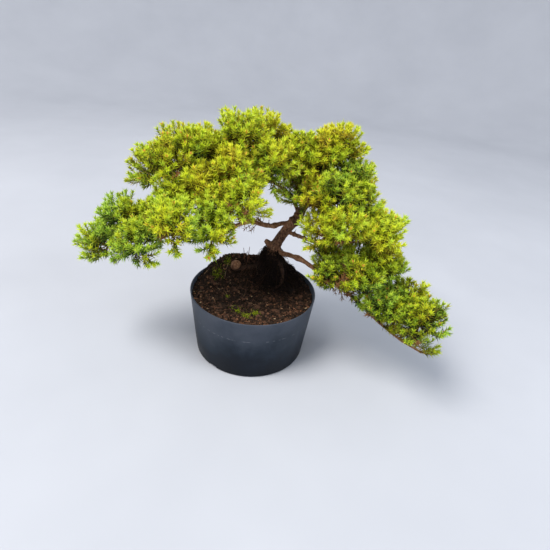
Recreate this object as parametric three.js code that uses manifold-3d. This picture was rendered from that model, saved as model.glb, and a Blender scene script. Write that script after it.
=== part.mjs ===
// A japanese garden juniper trained as a bonsai, in a thin round plastic bowl.
// Millimetres, +Z up. The origin is the middle of the bowl's underside, and +Y points to the back.
import * as THREE from "three";
import { mergeVertices } from "three/addons/utils/BufferGeometryUtils.js";
import Module from "manifold-3d";

const wasm = await Module();
wasm.setup();

// Bowl
const POT_HEIGHT = 75;
const POT_FOOT_RADIUS = 61.8;
const POT_RIM_RADIUS = 68.8;
const POT_WALL = 1.4;
const POT_FLOOR = 1.6;
const POT_FOOT_ROUNDING = 1.5;
const POT_SIDES = 34;
const NOTCH_COUNT = 3;
const NOTCH_WIDTH = 11;
const NOTCH_HEIGHT = 3;
const NOTCH_DEPTH = 8;
const FIRST_NOTCH_ANGLE = THREE.MathUtils.degToRad(235);

// Clearance between pieces that touch on the real plant
const GAP = 0.3;

// Soil, close under the rim in front and banked up round the roots behind
const SOIL_LEVEL = 69;
const SOIL_BANK = { y: 41, depth: 19, height: 23, rightEdge: 24, rightFall: 34, rightDrop: 0.5 };
const ROOT_MOUND = { x: 16, y: 28, spread: 14, height: 20 };
const SOIL_DIP = { x: 54, y: -4, spread: 22, depth: 4 };
const SOIL_EDGE_START = 52;
const SOIL_SIDES = 20;
const SOIL_RINGS = [15, 29, 42, 55];

// Needles and green stems, at the plant's own size
const NEEDLE_LENGTH = 5.8;
const NEEDLE_PITCH = 7.9;
const NEEDLE_ANGLE_FOOT = THREE.MathUtils.degToRad(58);
const NEEDLE_ANGLE_TIP = THREE.MathUtils.degToRad(34);
const STEM_RADIUS = 0.95;
const STEM_TIP_RADIUS = 0.6;
const BARE_STEP = 15;
const LEAFY_REACH = 3.2;
const STEM_SAMPLE = 3;
const AT_FOOT = 2.2;
// Shares of a needle's length and lean, tried in turn
const NEEDLE_TRIES = [[1, 1], [0.95, 0.75], [0.8, 0.55], [0.7, 1], [0.5, 0.8]];

// A bunch is a small core on a stalk, with leafy shoots standing out of it
const CORE_RADIUS = 5.6;
const CORE_STRETCH = 1.5;
const STALK_RADIUS = 1;
const STALK_AT_TIP = 9;
const SHORTEST_STALK = 7;
const SHOOT_LENGTH = 25;
const SHOOT_BARE = 4;
const MOST_SHOOTS = 6;
const LEAST_SHOOTS = 4;
const SHOOTS_APART = 0.66;
const OWN_START = 8;
const OWN_REACH = 3.4;
const GOLDEN_ANGLE = Math.PI * (3 - Math.sqrt(5));
const GOLDEN_RATIO = (1 + Math.sqrt(5)) / 2;

// The wood: each branch has its points, its radius at both ends and its number of sides
const BRANCHES = {
  trunk: {
    points: [[14, 33, 80], [16, 31, 97], [17, 30, 109], [22, 27, 122], [28, 25, 135], [35, 24, 146],
      [41, 25, 155], [45, 26, 166], [45, 27, 178]],
    radii: [7.2, 8, 7, 5.6, 5.2, 5.6, 4.8, 4.4, 3.6],
    sides: 8,
  },
  stub: {
    points: [[18, 30, 112], [12, 28, 117], [8, 27, 121]],
    radii: [4.4, 3.6, 2.8],
    sides: 6,
  },
  left: {
    points: [[35, 24, 146], [25, 21, 146], [14, 14, 145], [2, 6, 149], [-8, 0, 153], [-21, -10, 152],
      [-35, -22, 150], [-50, -32, 150], [-65, -38, 153], [-81, -38, 153], [-100, -36, 147],
      [-117, -34, 139], [-130, -31, 132]],
    radii: [2.6, 1.1],
    sides: 5,
  },
  left_upper: {
    points: [[-8, 0, 153], [-15, -8, 166], [-22, -15, 180], [-31, -21, 190], [-44, -20, 196],
      [-58, -15, 199], [-71, -9, 199], [-83, -5, 196]],
    radii: [2.1, 1.1],
    sides: 5,
  },
  crown: {
    points: [[45, 27, 178], [34, 24, 191], [19, 18, 203.6], [4, 12, 211.4], [-14, 8, 216], [-30, 6, 215],
      [-42, 7, 211]],
    radii: [3.2, 1.1],
    sides: 5,
  },
  right_upper: {
    points: [[45, 27, 178], [48, 26, 190], [54, 24, 202], [60, 20, 211]],
    radii: [3, 1.1],
    sides: 5,
  },
  right_shoulder: {
    points: [[54, 24, 199], [62, 18, 196], [70, 11, 191], [78, 5, 187]],
    radii: [2, 1.1],
    sides: 5,
  },
  right_middle: {
    points: [[33, 26, 134], [45, 20, 133], [56, 12, 134], [70, 2, 138], [85, -8, 144], [102, -18, 152]],
    radii: [2.3, 1.1],
    sides: 5,
  },
  cascade: {
    points: [[18, 30, 110], [28, 24, 109], [38, 18, 110], [49, 11, 110], [60, 4, 107], [75, -6, 103],
      [90, -16, 98], [105, -26, 92], [119, -34, 84], [133, -41, 75], [147, -47, 67], [160, -50, 60],
      [172, -51, 54], [181, -51, 49]],
    radii: [3, 0.9],
    sides: 5,
  },
  back_left: {
    points: [[41, 25, 157], [32, 42, 167], [14, 58, 176], [-8, 68, 181], [-28, 71, 183]],
    radii: [2.4, 1.1],
    sides: 5,
  },
  back_right: {
    points: [[44, 26, 163], [54, 42, 169], [66, 54, 173], [80, 60, 174]],
    radii: [2.2, 1.1],
    sides: 5,
  },
};
const BRANCH_STEP = 12.5;

// Roots that show on the soil, as places seen from above with a radius at both ends
const ROOTS = [
  { places: [[12, 31], [0, 31], [-12, 30], [-22, 28]], radii: [3.6, 2.6], sides: 5 },
  { places: [[18, 28], [28, 26], [30, 18], [19, 8]], radii: [3.6, 2], sides: 5 },
  { places: [[22, 34], [34, 40], [46, 38]], radii: [3.6, 1.3], sides: 5 },
  { places: [[12, 38], [2, 47], [-14, 50]], radii: [3.4, 1.3], sides: 5 },
];
const ROOT_RISE = -0.45;
const KNOB = { x: -23.5, y: 28, radius: 6.6, rise: 1.5 };

// Each clump of foliage is an egg of bunches that grow from a stretch of one branch, up to its end
// where no other share is given. size is how far the bunches' cores lie from the clump's centre
const CLUMPS = [
  {
    name: "far_left", branch: "left", from: 0.68, bunches: 4, turn: 0.4,
    centre: [-112, -26, 140], size: [20, 18, 10],
  },
  {
    name: "front_left", branch: "left", from: 0.4, to: 0.74, bunches: 4, turn: 2,
    centre: [-68, -38, 168], size: [34, 14, 8],
  },
  {
    name: "low_left", branch: "left", from: 0.3, to: 0.66, bunches: 2, turn: 3.3,
    centre: [-61, -39, 151], size: [26, 4, 4],
  },
  {
    name: "middle_left", branch: "left_upper", from: 0.08, to: 0.6, bunches: 4, turn: 1,
    centre: [-30, -22, 186], size: [17, 14, 14],
  },
  {
    name: "upper_left", branch: "left_upper", from: 0.5, bunches: 5, turn: 3.4,
    centre: [-76, -3, 204], size: [22, 16, 17],
  },
  {
    name: "crown", branch: "crown", from: 0.45, bunches: 5, turn: 4.6,
    centre: [-9, 9, 211], size: [25, 16, 12],
  },
  {
    name: "middle", branch: "crown", from: 0.12, to: 0.5, bunches: 2, turn: 5,
    centre: [27, 24, 207], size: [12, 16, 14],
  },
  {
    name: "inner_right", branch: "right_middle", from: 0.1, to: 0.4, bunches: 1, turn: 5,
    centre: [55, 1, 178], size: [8, 6, 8],
  },
  {
    name: "upper_right", branch: "right_upper", from: 0.3, bunches: 3, turn: 3.2,
    centre: [53, 20, 207], size: [20, 18, 12],
  },
  {
    name: "shoulder_right", branch: "right_shoulder", from: 0.3, bunches: 4, turn: 4.3,
    centre: [64, 5, 183], size: [15, 16, 14],
  },
  {
    name: "middle_right", branch: "right_middle", from: 0.2, bunches: 4, turn: 2,
    centre: [92, -16, 156], size: [26, 13, 12],
  },
  {
    name: "cascade", branch: "cascade", from: 0.26, to: 0.62, bunches: 5, turn: 5.9,
    centre: [110, -26, 114], size: [30, 14, 10],
  },
  {
    name: "cascade_tip", branch: "cascade", from: 0.58, to: 0.96, bunches: 4, turn: 0.3,
    centre: [152, -41, 91], size: [5, 15, 4],
  },
  {
    name: "cascade_low", branch: "cascade", from: 0.5, to: 0.82, bunches: 1, turn: 2,
    centre: [130, -45, 88], size: [4, 4, 5],
  },
  {
    name: "inner_cascade", branch: "cascade", from: 0.12, to: 0.36, bunches: 1, turn: 2,
    centre: [68, -6, 111], size: [9, 11, 4],
  },
  {
    name: "back_left", branch: "back_left", from: 0.45, bunches: 3, turn: 1,
    centre: [-26, 72, 188], size: [28, 16, 12],
  },
  {
    name: "back_right", branch: "back_right", from: 0.3, bunches: 2, turn: 0,
    centre: [76, 60, 180], size: [22, 16, 12],
  },
];
const LOWEST_AIM = -0.42;
const BUNCH_TRIES = 40;
const TRY_STEP = 1.1;
const BUNCH_RISE = 0.4;
const SHOOT_TRIES = [1, 0.8];

// Colours and finishes
const potMaterial = new THREE.MeshStandardMaterial({ color: 0x24272c, roughness: 0.45, metalness: 0 });
const soilMaterial = new THREE.MeshStandardMaterial({ color: 0x2c1d15, roughness: 0.95, metalness: 0 });
const woodMaterial = new THREE.MeshStandardMaterial({ color: 0x5d4334, roughness: 0.85, metalness: 0 });
const foliageMaterial = new THREE.MeshStandardMaterial({ color: 0x93b02b, roughness: 0.6, metalness: 0 });

const UP = new THREE.Vector3(0, 0, 1);

// A repeatable row of draws between 0 and 1
function drawsFrom(seed) {
  let state = (seed * 7919 + 12345) % 4294967296;
  return () => {
    state = (state * 1664525 + 1013904223) % 4294967296;
    return state / 4294967296;
  };
}

function vector(list) {
  return new THREE.Vector3(list[0], list[1], list[2]);
}

function smoothStep(low, high, value) {
  const t = Math.min(1, Math.max(0, (value - low) / (high - low)));
  return t * t * (3 - 2 * t);
}

// A solid from points and triangles whose corners are shared
function solidFrom(points, triangles) {
  const vertProperties = new Float32Array(points.flatMap((p) => [p.x, p.y, p.z]));
  const mesh = new wasm.Mesh({ numProp: 3, vertProperties, triVerts: new Uint32Array(triangles.flat()) });
  return new wasm.Manifold(mesh);
}

// A solid from a three.js geometry
function solidOf(geometry) {
  const bare = geometry.clone();
  bare.deleteAttribute("normal");
  bare.deleteAttribute("uv");
  const merged = mergeVertices(bare, 1e-3);
  const triVerts = new Uint32Array(merged.index.array);
  return new wasm.Manifold(
    new wasm.Mesh({ numProp: 3, vertProperties: merged.attributes.position.array, triVerts }),
  );
}

function meshOf(name, solid, material) {
  const made = solid.getMesh();
  const positions = new Float32Array(made.numVert * 3);
  for (let i = 0; i < made.numVert; i++) {
    const start = i * made.numProp;
    positions.set(made.vertProperties.subarray(start, start + 3), i * 3);
  }
  const geometry = new THREE.BufferGeometry();
  geometry.setAttribute("position", new THREE.BufferAttribute(positions, 3));
  geometry.setIndex(new THREE.BufferAttribute(new Uint32Array(made.triVerts), 1));
  const mesh = new THREE.Mesh(geometry, material);
  mesh.name = name;
  return mesh;
}

// Pot: a thin turned shell with drainage notches in its foot
function potRadius(height) {
  return POT_FOOT_RADIUS + ((POT_RIM_RADIUS - POT_FOOT_RADIUS) * height) / POT_HEIGHT;
}

function makePot() {
  const profile = [
    [0, 0],
    [POT_FOOT_RADIUS - POT_FOOT_ROUNDING, 0],
    [potRadius(POT_FOOT_ROUNDING), POT_FOOT_ROUNDING],
    [POT_RIM_RADIUS, POT_HEIGHT],
    [POT_RIM_RADIUS - POT_WALL, POT_HEIGHT],
    [potRadius(POT_FLOOR) - POT_WALL, POT_FLOOR],
    [0, POT_FLOOR],
  ].map(([radius, height]) => new THREE.Vector2(radius, height));
  const shell = new THREE.LatheGeometry(profile, POT_SIDES);
  shell.rotateX(Math.PI / 2);
  let solid = solidOf(shell);
  for (let i = 0; i < NOTCH_COUNT; i++) {
    const notch = new THREE.BoxGeometry(NOTCH_DEPTH, NOTCH_WIDTH, 2 * NOTCH_HEIGHT);
    notch.translate(POT_FOOT_RADIUS, 0, 0);
    notch.rotateZ(FIRST_NOTCH_ANGLE + (i * 2 * Math.PI) / NOTCH_COUNT);
    solid = solid.subtract(solidOf(notch));
  }
  return solid;
}

// Soil: its top follows a formula, and its sides and bottom follow the pot
function soilHeight(x, y) {
  const edge = smoothStep(SOIL_EDGE_START, POT_RIM_RADIUS, Math.hypot(x, y));
  const rightShare = 1 - SOIL_BANK.rightDrop * smoothStep(0, SOIL_BANK.rightFall, x - SOIL_BANK.rightEdge);
  const bank = Math.exp(-(((y - SOIL_BANK.y) / SOIL_BANK.depth) ** 2)) * rightShare * (1 - 0.65 * edge);
  const fromMound = Math.hypot(x - ROOT_MOUND.x, y - ROOT_MOUND.y) / ROOT_MOUND.spread;
  const fromDip = Math.hypot(x - SOIL_DIP.x, y - SOIL_DIP.y) / SOIL_DIP.spread;
  const crumbs = 0.6 * Math.sin(x * 0.31 + y * 0.17) + 0.6 * Math.sin(y * 0.37 - x * 0.11);
  return (
    SOIL_LEVEL +
    SOIL_BANK.height * bank +
    ROOT_MOUND.height * Math.exp(-(fromMound ** 4)) -
    SOIL_DIP.depth * Math.exp(-(fromDip ** 2)) +
    crumbs
  );
}

function makeSoil() {
  const points = [];
  const triangles = [];
  const addRing = (place) => {
    const first = points.length;
    for (let i = 0; i < SOIL_SIDES; i++) {
      points.push(place((i * 2 * Math.PI) / SOIL_SIDES));
    }
    return first;
  };
  const join = (low, high) => {
    for (let i = 0; i < SOIL_SIDES; i++) {
      const next = (i + 1) % SOIL_SIDES;
      triangles.push([low + i, low + next, high + next], [low + i, high + next, high + i]);
    }
  };
  const insideRadius = (height) => potRadius(Math.min(height, POT_HEIGHT)) - POT_WALL - GAP;
  const inscribed = Math.cos(Math.PI / POT_SIDES);
  const bottom = POT_FLOOR + GAP;
  points.push(new THREE.Vector3(0, 0, bottom));
  const foot = addRing((a) => {
    const radius = insideRadius(bottom) * inscribed;
    return new THREE.Vector3(radius * Math.cos(a), radius * Math.sin(a), bottom);
  });
  const shoulder = addRing((a) => {
    const height = SOIL_LEVEL - SOIL_DIP.depth - 3;
    const radius = insideRadius(height) * inscribed;
    return new THREE.Vector3(radius * Math.cos(a), radius * Math.sin(a), height);
  });
  const edge = addRing((a) => {
    const radius = insideRadius(SOIL_LEVEL - SOIL_DIP.depth - 3) * inscribed;
    const x = radius * Math.cos(a);
    const y = radius * Math.sin(a);
    return new THREE.Vector3(x, y, soilHeight(x, y));
  });
  for (let i = 0; i < SOIL_SIDES; i++) {
    triangles.push([0, foot + ((i + 1) % SOIL_SIDES), foot + i]);
  }
  join(foot, shoulder);
  join(shoulder, edge);
  let outer = edge;
  for (const radius of SOIL_RINGS.slice().reverse()) {
    const ring = addRing((a) => {
      const x = radius * Math.cos(a);
      const y = radius * Math.sin(a);
      return new THREE.Vector3(x, y, soilHeight(x, y));
    });
    join(outer, ring);
    outer = ring;
  }
  const top = points.length;
  points.push(new THREE.Vector3(0, 0, soilHeight(0, 0)));
  for (let i = 0; i < SOIL_SIDES; i++) {
    triangles.push([outer + i, outer + ((i + 1) % SOIL_SIDES), top]);
  }
  return solidFrom(points, triangles);
}

// Wood: round tubes that taper along smooth curves
function radiusAlong(radii, share) {
  const place = share * (radii.length - 1);
  const i = Math.min(radii.length - 2, Math.floor(place));
  return radii[i] + (radii[i + 1] - radii[i]) * (place - i);
}

function branchCurve(branch) {
  return new THREE.CatmullRomCurve3(branch.points.map(vector), false, "catmullrom", 0.5);
}

function ringCount(curve) {
  return Math.max(2, Math.round(curve.getLength() / BRANCH_STEP));
}

function tube(curve, radii, sides, grow) {
  const rings = ringCount(curve);
  const points = [];
  const triangles = [];
  let side = new THREE.Vector3(0, 1, 0);
  for (let k = 0; k <= rings; k++) {
    const share = k / rings;
    const tangent = curve.getTangent(share);
    side = side.clone().addScaledVector(tangent, -side.dot(tangent)).normalize();
    const other = tangent.clone().cross(side);
    const radius = radiusAlong(radii, share) + grow;
    for (let j = 0; j < sides; j++) {
      const angle = (j * 2 * Math.PI) / sides;
      const point = curve.getPoint(share);
      point.addScaledVector(side, radius * Math.cos(angle));
      point.addScaledVector(other, radius * Math.sin(angle));
      points.push(point);
    }
    if (k === 0) continue;
    const low = (k - 1) * sides;
    const high = k * sides;
    for (let j = 0; j < sides; j++) {
      const next = (j + 1) % sides;
      triangles.push([low + j, low + next, high + next], [low + j, high + next, high + j]);
    }
  }
  const last = rings * sides;
  for (let j = 1; j < sides - 1; j++) {
    triangles.push([0, j + 1, j], [last, last + j, last + j + 1]);
  }
  return solidFrom(points, triangles);
}

function rootCurve(root) {
  const points = root.places.map(([x, y], i) => {
    const radius = radiusAlong(root.radii, i / (root.places.length - 1));
    return new THREE.Vector3(x, y, soilHeight(x, y) + ROOT_RISE * radius);
  });
  return new THREE.CatmullRomCurve3(points, false, "catmullrom", 0.5);
}

function knob(grow) {
  const ball = new THREE.SphereGeometry(KNOB.radius + grow, 7, 5);
  ball.translate(KNOB.x, KNOB.y, soilHeight(KNOB.x, KNOB.y) + KNOB.rise);
  return solidOf(ball);
}

// What stands in the soil: the trunk's foot, the roots and the knob. grow makes the hole for it
function woodInSoil(grow) {
  const trunk = BRANCHES.trunk;
  let solid = tube(branchCurve(trunk), trunk.radii, trunk.sides, grow).add(knob(grow));
  for (const root of ROOTS) {
    solid = solid.add(tube(rootCurve(root), root.radii, root.sides, grow));
  }
  return solid;
}

function makeWood() {
  let solid = woodInSoil(0);
  for (const [name, branch] of Object.entries(BRANCHES)) {
    if (name !== "trunk") {
      solid = solid.add(tube(branchCurve(branch), branch.radii, branch.sides, 0));
    }
  }
  return solid;
}

// Foliage. A stem is three-sided, and each of its rings is turned by a sixth of a turn from the last,
// so a band between two rings has three faces that point up the stem and three that point down it
function ringAt(stem, share, turned) {
  const tangent = stem.curve.getTangent(share);
  const side = stem.across.clone().addScaledVector(tangent, -stem.across.dot(tangent)).normalize();
  const other = tangent.clone().cross(side);
  stem.across = side;
  const centre = stem.curve.getPoint(share);
  const size = stem.radius + (stem.endRadius - stem.radius) * share;
  const ways = [0, 1, 2].map((j) => {
    const angle = (j * 2 * Math.PI) / 3 + (turned ? Math.PI / 3 : 0);
    return side.clone().multiplyScalar(Math.cos(angle)).addScaledVector(other, Math.sin(angle));
  });
  return { tangent, share, ways, corners: ways.map((way) => centre.clone().addScaledVector(way, size)) };
}

// A stem that starts on a face of its bunch's core, with the needles' bands past its bare foot. Its
// rings keep their turn along its bends, because each takes its way across from the one before it
function stemFrom(bed, curve, length, bare, radius, endRadius) {
  const stem = { curve, length, bare, radius, endRadius };
  stem.across = bed.corners[0].clone().sub(bed.middle);
  stem.bareBands = Math.ceil(bare / BARE_STEP);
  const leafyBands = Math.round((length - bare) / NEEDLE_PITCH);
  stem.leafy = leafyBands > 0;
  stem.rings = [];
  for (let k = 0; k <= stem.bareBands + leafyBands; k++) {
    const leafyShare = (k - stem.bareBands) / leafyBands;
    const along = k <= stem.bareBands ? (bare * k) / stem.bareBands : bare + (length - bare) * leafyShare;
    stem.rings.push(ringAt(stem, along / length, k % 2 === 1));
  }
  stem.rings[0].corners = bed.corners;
  return stem;
}

// Places along a stem, each with the room that it needs
function roomOf(stem) {
  const count = Math.ceil(stem.length / STEM_SAMPLE);
  const places = [];
  for (let k = 0; k <= count; k++) {
    const along = (k / count) * stem.length;
    const reach = along > stem.bare ? LEAFY_REACH : stem.radius;
    places.push({ at: stem.curve.getPoint(k / count), reach, along });
  }
  return places;
}

function woodRoom() {
  const places = [];
  for (const branch of Object.values(BRANCHES)) {
    const curve = branchCurve(branch);
    const count = 14 * (branch.points.length - 1);
    for (let k = 0; k <= count; k++) {
      places.push({ at: curve.getPoint(k / count), reach: radiusAlong(branch.radii, k / count) });
    }
  }
  return places;
}

function isClear(places, others) {
  return places.every((p) => others.every((q) => p.at.distanceTo(q.at) >= p.reach + q.reach + GAP));
}

// Whether a shoot keeps off the other stems of its own bunch, past the core that they all grow from
function isApart(places, others) {
  const past = (place) => place.along > OWN_START;
  const loose = others.filter(past);
  return places.filter(past).every((p) => loose.every((q) => p.at.distanceTo(q.at) > OWN_REACH));
}

// The ring of a branch, on a stretch of it, that is nearest to a point
function nearestRing(curve, from, to, point) {
  const rings = ringCount(curve);
  let best = Math.ceil(from * rings);
  let least = Infinity;
  for (let k = best; k <= to * rings && k < rings; k++) {
    const distance = curve.getPoint(k / rings).distanceTo(point);
    if (distance < least) {
      least = distance;
      best = k;
    }
  }
  return best / rings;
}

// The twelve corners and twenty faces of a regular body, which is what a core is drawn from
function coreShape() {
  const corners = [];
  for (const s of [-1, 1]) {
    for (const t of [-GOLDEN_RATIO, GOLDEN_RATIO]) {
      corners.push([0, s, t], [s, t, 0], [t, 0, s]);
    }
  }
  const apart = (a, b) => Math.hypot(...[0, 1, 2].map((k) => corners[a][k] - corners[b][k]));
  const faces = [];
  for (let a = 0; a < 12; a++) {
    for (let b = a + 1; b < 12; b++) {
      for (let c = b + 1; c < 12; c++) {
        if (Math.max(apart(a, b), apart(b, c), apart(a, c)) > 2.1) continue;
        const [p, q, r] = [a, b, c].map((k) => vector(corners[k]));
        const outward = q.clone().sub(p).cross(r.clone().sub(p)).dot(p) > 0;
        faces.push(outward ? [a, b, c] : [a, c, b]);
      }
    }
  }
  return { corners: corners.map((corner) => vector(corner).normalize()), faces };
}
const CORE = coreShape();

// The faces of a bunch's core, each with its middle and its way out
function coreFaces(centre, axis, draw) {
  const side = new THREE.Vector3(axis.y, -axis.x, 0);
  if (side.length() < 0.1) side.set(1, 0, 0);
  side.normalize();
  const other = axis.clone().cross(side);
  const corners = CORE.corners.map((corner) => {
    const size = CORE_RADIUS * (0.85 + 0.3 * draw());
    const place = centre.clone().addScaledVector(side, corner.x * size);
    place.addScaledVector(other, corner.y * size);
    return place.addScaledVector(axis, corner.z * size * CORE_STRETCH);
  });
  return CORE.faces.map((face) => {
    const [a, b, c] = face.map((k) => corners[k]);
    const middle = new THREE.Vector3().add(a).add(b).add(c).divideScalar(3);
    const way = b.clone().sub(a).cross(c.clone().sub(a)).normalize();
    return { corners: [a, b, c], middle, way };
  });
}

// Where a bunch grows from: the end of its clump's branch, or the side of the branch's ring that is
// nearest to a point, with the way from there out of the bark
function rootOf(clump, atEnd, point) {
  const branch = BRANCHES[clump.branch];
  const curve = branchCurve(branch);
  const share = atEnd ? 1 : nearestRing(curve, clump.from, clump.to ?? 1, point);
  const foot = curve.getPoint(share);
  const tangent = curve.getTangent(share);
  if (atEnd) return { foot: foot.addScaledVector(tangent, GAP), outward: tangent };
  const outward = point.clone().sub(foot);
  outward.addScaledVector(tangent, -outward.dot(tangent)).normalize();
  return { foot: foot.addScaledVector(outward, radiusAlong(branch.radii, share) + GAP), outward };
}

// The stalk that joins a bunch to its branch. It meets the branch square, a small gap off its bark
function stalkOf(bed, root) {
  const length = bed.middle.distanceTo(root.foot);
  const bends = [
    bed.middle,
    bed.middle.clone().addScaledVector(bed.way, 0.3 * length),
    root.foot.clone().addScaledVector(root.outward, 0.35 * length),
    root.foot,
  ];
  return stemFrom(bed, new THREE.CubicBezierCurve3(...bends), length, length, STALK_RADIUS, STALK_RADIUS);
}

function shootOn(bed, axis, length) {
  const way = bed.way.clone().addScaledVector(axis, 0.3).addScaledVector(UP, 0.15).normalize();
  const endWay = way.clone().addScaledVector(UP, 0.3).normalize();
  const bend = bed.middle.clone().addScaledVector(way, 0.5 * length);
  const end = bed.middle.clone().addScaledVector(endWay, length);
  const curve = new THREE.QuadraticBezierCurve3(bed.middle, bend, end);
  return stemFrom(bed, curve, length, SHOOT_BARE, STEM_RADIUS, STEM_TIP_RADIUS);
}

// Where the core of one of a clump's bunches should be: past the end of the branch for the first
// bunch, where the clump has the branch's end, and round the clump's egg for the others
function wantedPlace(clump, index, atEnd) {
  if (atEnd) {
    const curve = branchCurve(BRANCHES[clump.branch]);
    const distance = STALK_AT_TIP + CORE_RADIUS * CORE_STRETCH;
    return curve.getPoint(1).addScaledVector(curve.getTangent(1), distance);
  }
  const height = 1 - ((1 - LOWEST_AIM) * (index + 0.5)) / clump.bunches;
  const turn = index * GOLDEN_ANGLE + clump.turn;
  const ring = Math.sqrt(1 - height * height);
  const way = new THREE.Vector3(ring * Math.cos(turn), ring * Math.sin(turn), height);
  return vector(clump.centre).add(way.multiply(vector(clump.size)));
}

// One bunch: a small core on a stalk, and the leafy shoots that stand out of it. It is drawn again
// until it is clear of the wood and of the other bunches, and a shoot with no room is left out
function growBunch(clump, index, wood, taken) {
  const draw = drawsFrom(1000 * (CLUMPS.indexOf(clump) + 1) + index);
  const atEnd = index === 0 && !clump.to;
  const wanted = wantedPlace(clump, index, atEnd);
  for (let attempt = 0; attempt < BUNCH_TRIES; attempt++) {
    const shift = new THREE.Vector3(draw() - 0.5, draw() - 0.5, draw() - 0.5);
    const centre = wanted.clone().addScaledVector(shift, TRY_STEP * attempt);
    const root = rootOf(clump, atEnd, centre);
    const axis = centre.clone().sub(root.foot).normalize().addScaledVector(UP, BUNCH_RISE).normalize();
    const faces = coreFaces(centre, axis, draw);
    const core = [-1, 0, 1].map((end) => {
      const offset = end * CORE_RADIUS * (CORE_STRETCH - 1);
      return { at: centre.clone().addScaledVector(axis, offset), reach: CORE_RADIUS };
    });
    if (!isClear(core, taken) || !isClear(core, wood)) continue;
    const rootWay = root.foot.clone().sub(centre).normalize();
    const foot = faces.slice().sort((a, b) => b.way.dot(rootWay) - a.way.dot(rootWay))[0];
    const stalk = stalkOf(foot, root);
    if (stalk.length < SHORTEST_STALK) continue;
    const stalkRoom = roomOf(stalk);
    const offBark = stalkRoom.filter((p) => p.along < stalk.length - AT_FOOT);
    if (!isClear(stalkRoom, taken) || !isClear(offBark, wood)) continue;
    const bunch = { faces, stems: [stalk], beds: [foot], room: [...core, ...stalkRoom] };
    addShoots(bunch, axis, wood, taken, draw);
    if (bunch.stems.length > LEAST_SHOOTS) return bunch;
  }
  return null;
}

function addShoots(bunch, axis, wood, taken, draw) {
  const lean = (face) => face.way.dot(axis) + 0.35 * draw();
  const order = bunch.faces.map((face) => ({ face, lean: lean(face) })).sort((a, b) => b.lean - a.lean);
  for (const { face } of order) {
    if (bunch.stems.length > MOST_SHOOTS) return;
    if (bunch.beds.some((bed) => bed.way.dot(face.way) > SHOOTS_APART)) continue;
    for (const share of SHOOT_TRIES) {
      const length = SHOOT_LENGTH * share * (0.88 + 0.24 * draw());
      const shoot = shootOn(face, axis, length);
      const room = roomOf(shoot);
      if (!isClear(room, taken) || !isClear(room, wood) || !isApart(room, bunch.room)) continue;
      bunch.stems.push(shoot);
      bunch.beds.push(face);
      bunch.room.push(...room);
      break;
    }
  }
}

// A face as three points, with its lowest and highest corners for a quick look
function faceOf(a, b, c) {
  const box = new THREE.Box3().setFromPoints([a, b, c]);
  return { corners: [a, b, c], box };
}

// Whether the straight line from a to b passes through a face
function pierces(a, b, face) {
  const [p, q, r] = face.corners;
  const way = b.clone().sub(a);
  const first = q.clone().sub(p);
  const second = r.clone().sub(p);
  const h = way.clone().cross(second);
  const det = first.dot(h);
  if (Math.abs(det) < 1e-9) return false;
  const from = a.clone().sub(p);
  const u = from.dot(h) / det;
  if (u < -0.02 || u > 1.02) return false;
  const g = from.cross(first);
  const v = way.dot(g) / det;
  if (v < -0.02 || u + v > 1.02) return false;
  const t = second.dot(g) / det;
  return t > -0.01 && t < 1.01;
}

// Two faces that share a side never count, and at a shared corner only the sides opposite it do
function facesCross(one, two) {
  if (!one.box.intersectsBox(two.box)) return false;
  const shared = one.corners.filter((corner) => two.corners.includes(corner));
  if (shared.length > 1) return false;
  const sidesOf = (face) => [0, 1, 2].map((k) => [face.corners[k], face.corners[(k + 1) % 3]]);
  const loose = (side) => !side.includes(shared[0]);
  return (
    sidesOf(one).some((side) => loose(side) && pierces(side[0], side[1], two)) ||
    sidesOf(two).some((side) => loose(side) && pierces(side[0], side[1], one))
  );
}

// The surface of a bunch, joined face to face, and the faces of it that are beds for needles
function bunchBody(bunch) {
  const faces = [];
  const beds = [];
  for (const stem of bunch.stems) {
    const corner = ([ring, place]) => stem.rings[ring].corners[place];
    for (let band = 0; band < stem.rings.length - 1; band++) {
      for (let j = 0; j < 3; j++) {
        const back = band % 2 ? (j + 2) % 3 : j;
        const front = (back + 1) % 3;
        faces.push(faceOf(corner([band + 1, j]), corner([band, front]), corner([band + 1, (j + 1) % 3])));
        const face = faceOf(corner([band, back]), corner([band, front]), corner([band + 1, j]));
        const ring = stem.rings[band + 1];
        faces.push(face);
        if (band < stem.bareBands) continue;
        beds.push({ face, way: ring.ways[j], tangent: ring.tangent, share: ring.share });
      }
    }
    const last = stem.rings[stem.rings.length - 1];
    const [a, b, c] = last.corners;
    if (stem.leafy) {
      const tip = stem.curve.getPoint(1).addScaledVector(last.tangent, 0.75 * NEEDLE_LENGTH);
      faces.push(faceOf(a, b, tip), faceOf(b, c, tip), faceOf(c, a, tip));
    } else {
      faces.push(faceOf(a, b, c));
    }
  }
  for (const core of bunch.faces) {
    if (bunch.beds.includes(core)) continue;
    const face = faceOf(...core.corners);
    faces.push(face);
    beds.push({ face, way: core.way, tangent: core.way, share: 1 });
  }
  return { faces: new Set(faces), beds };
}

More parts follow.
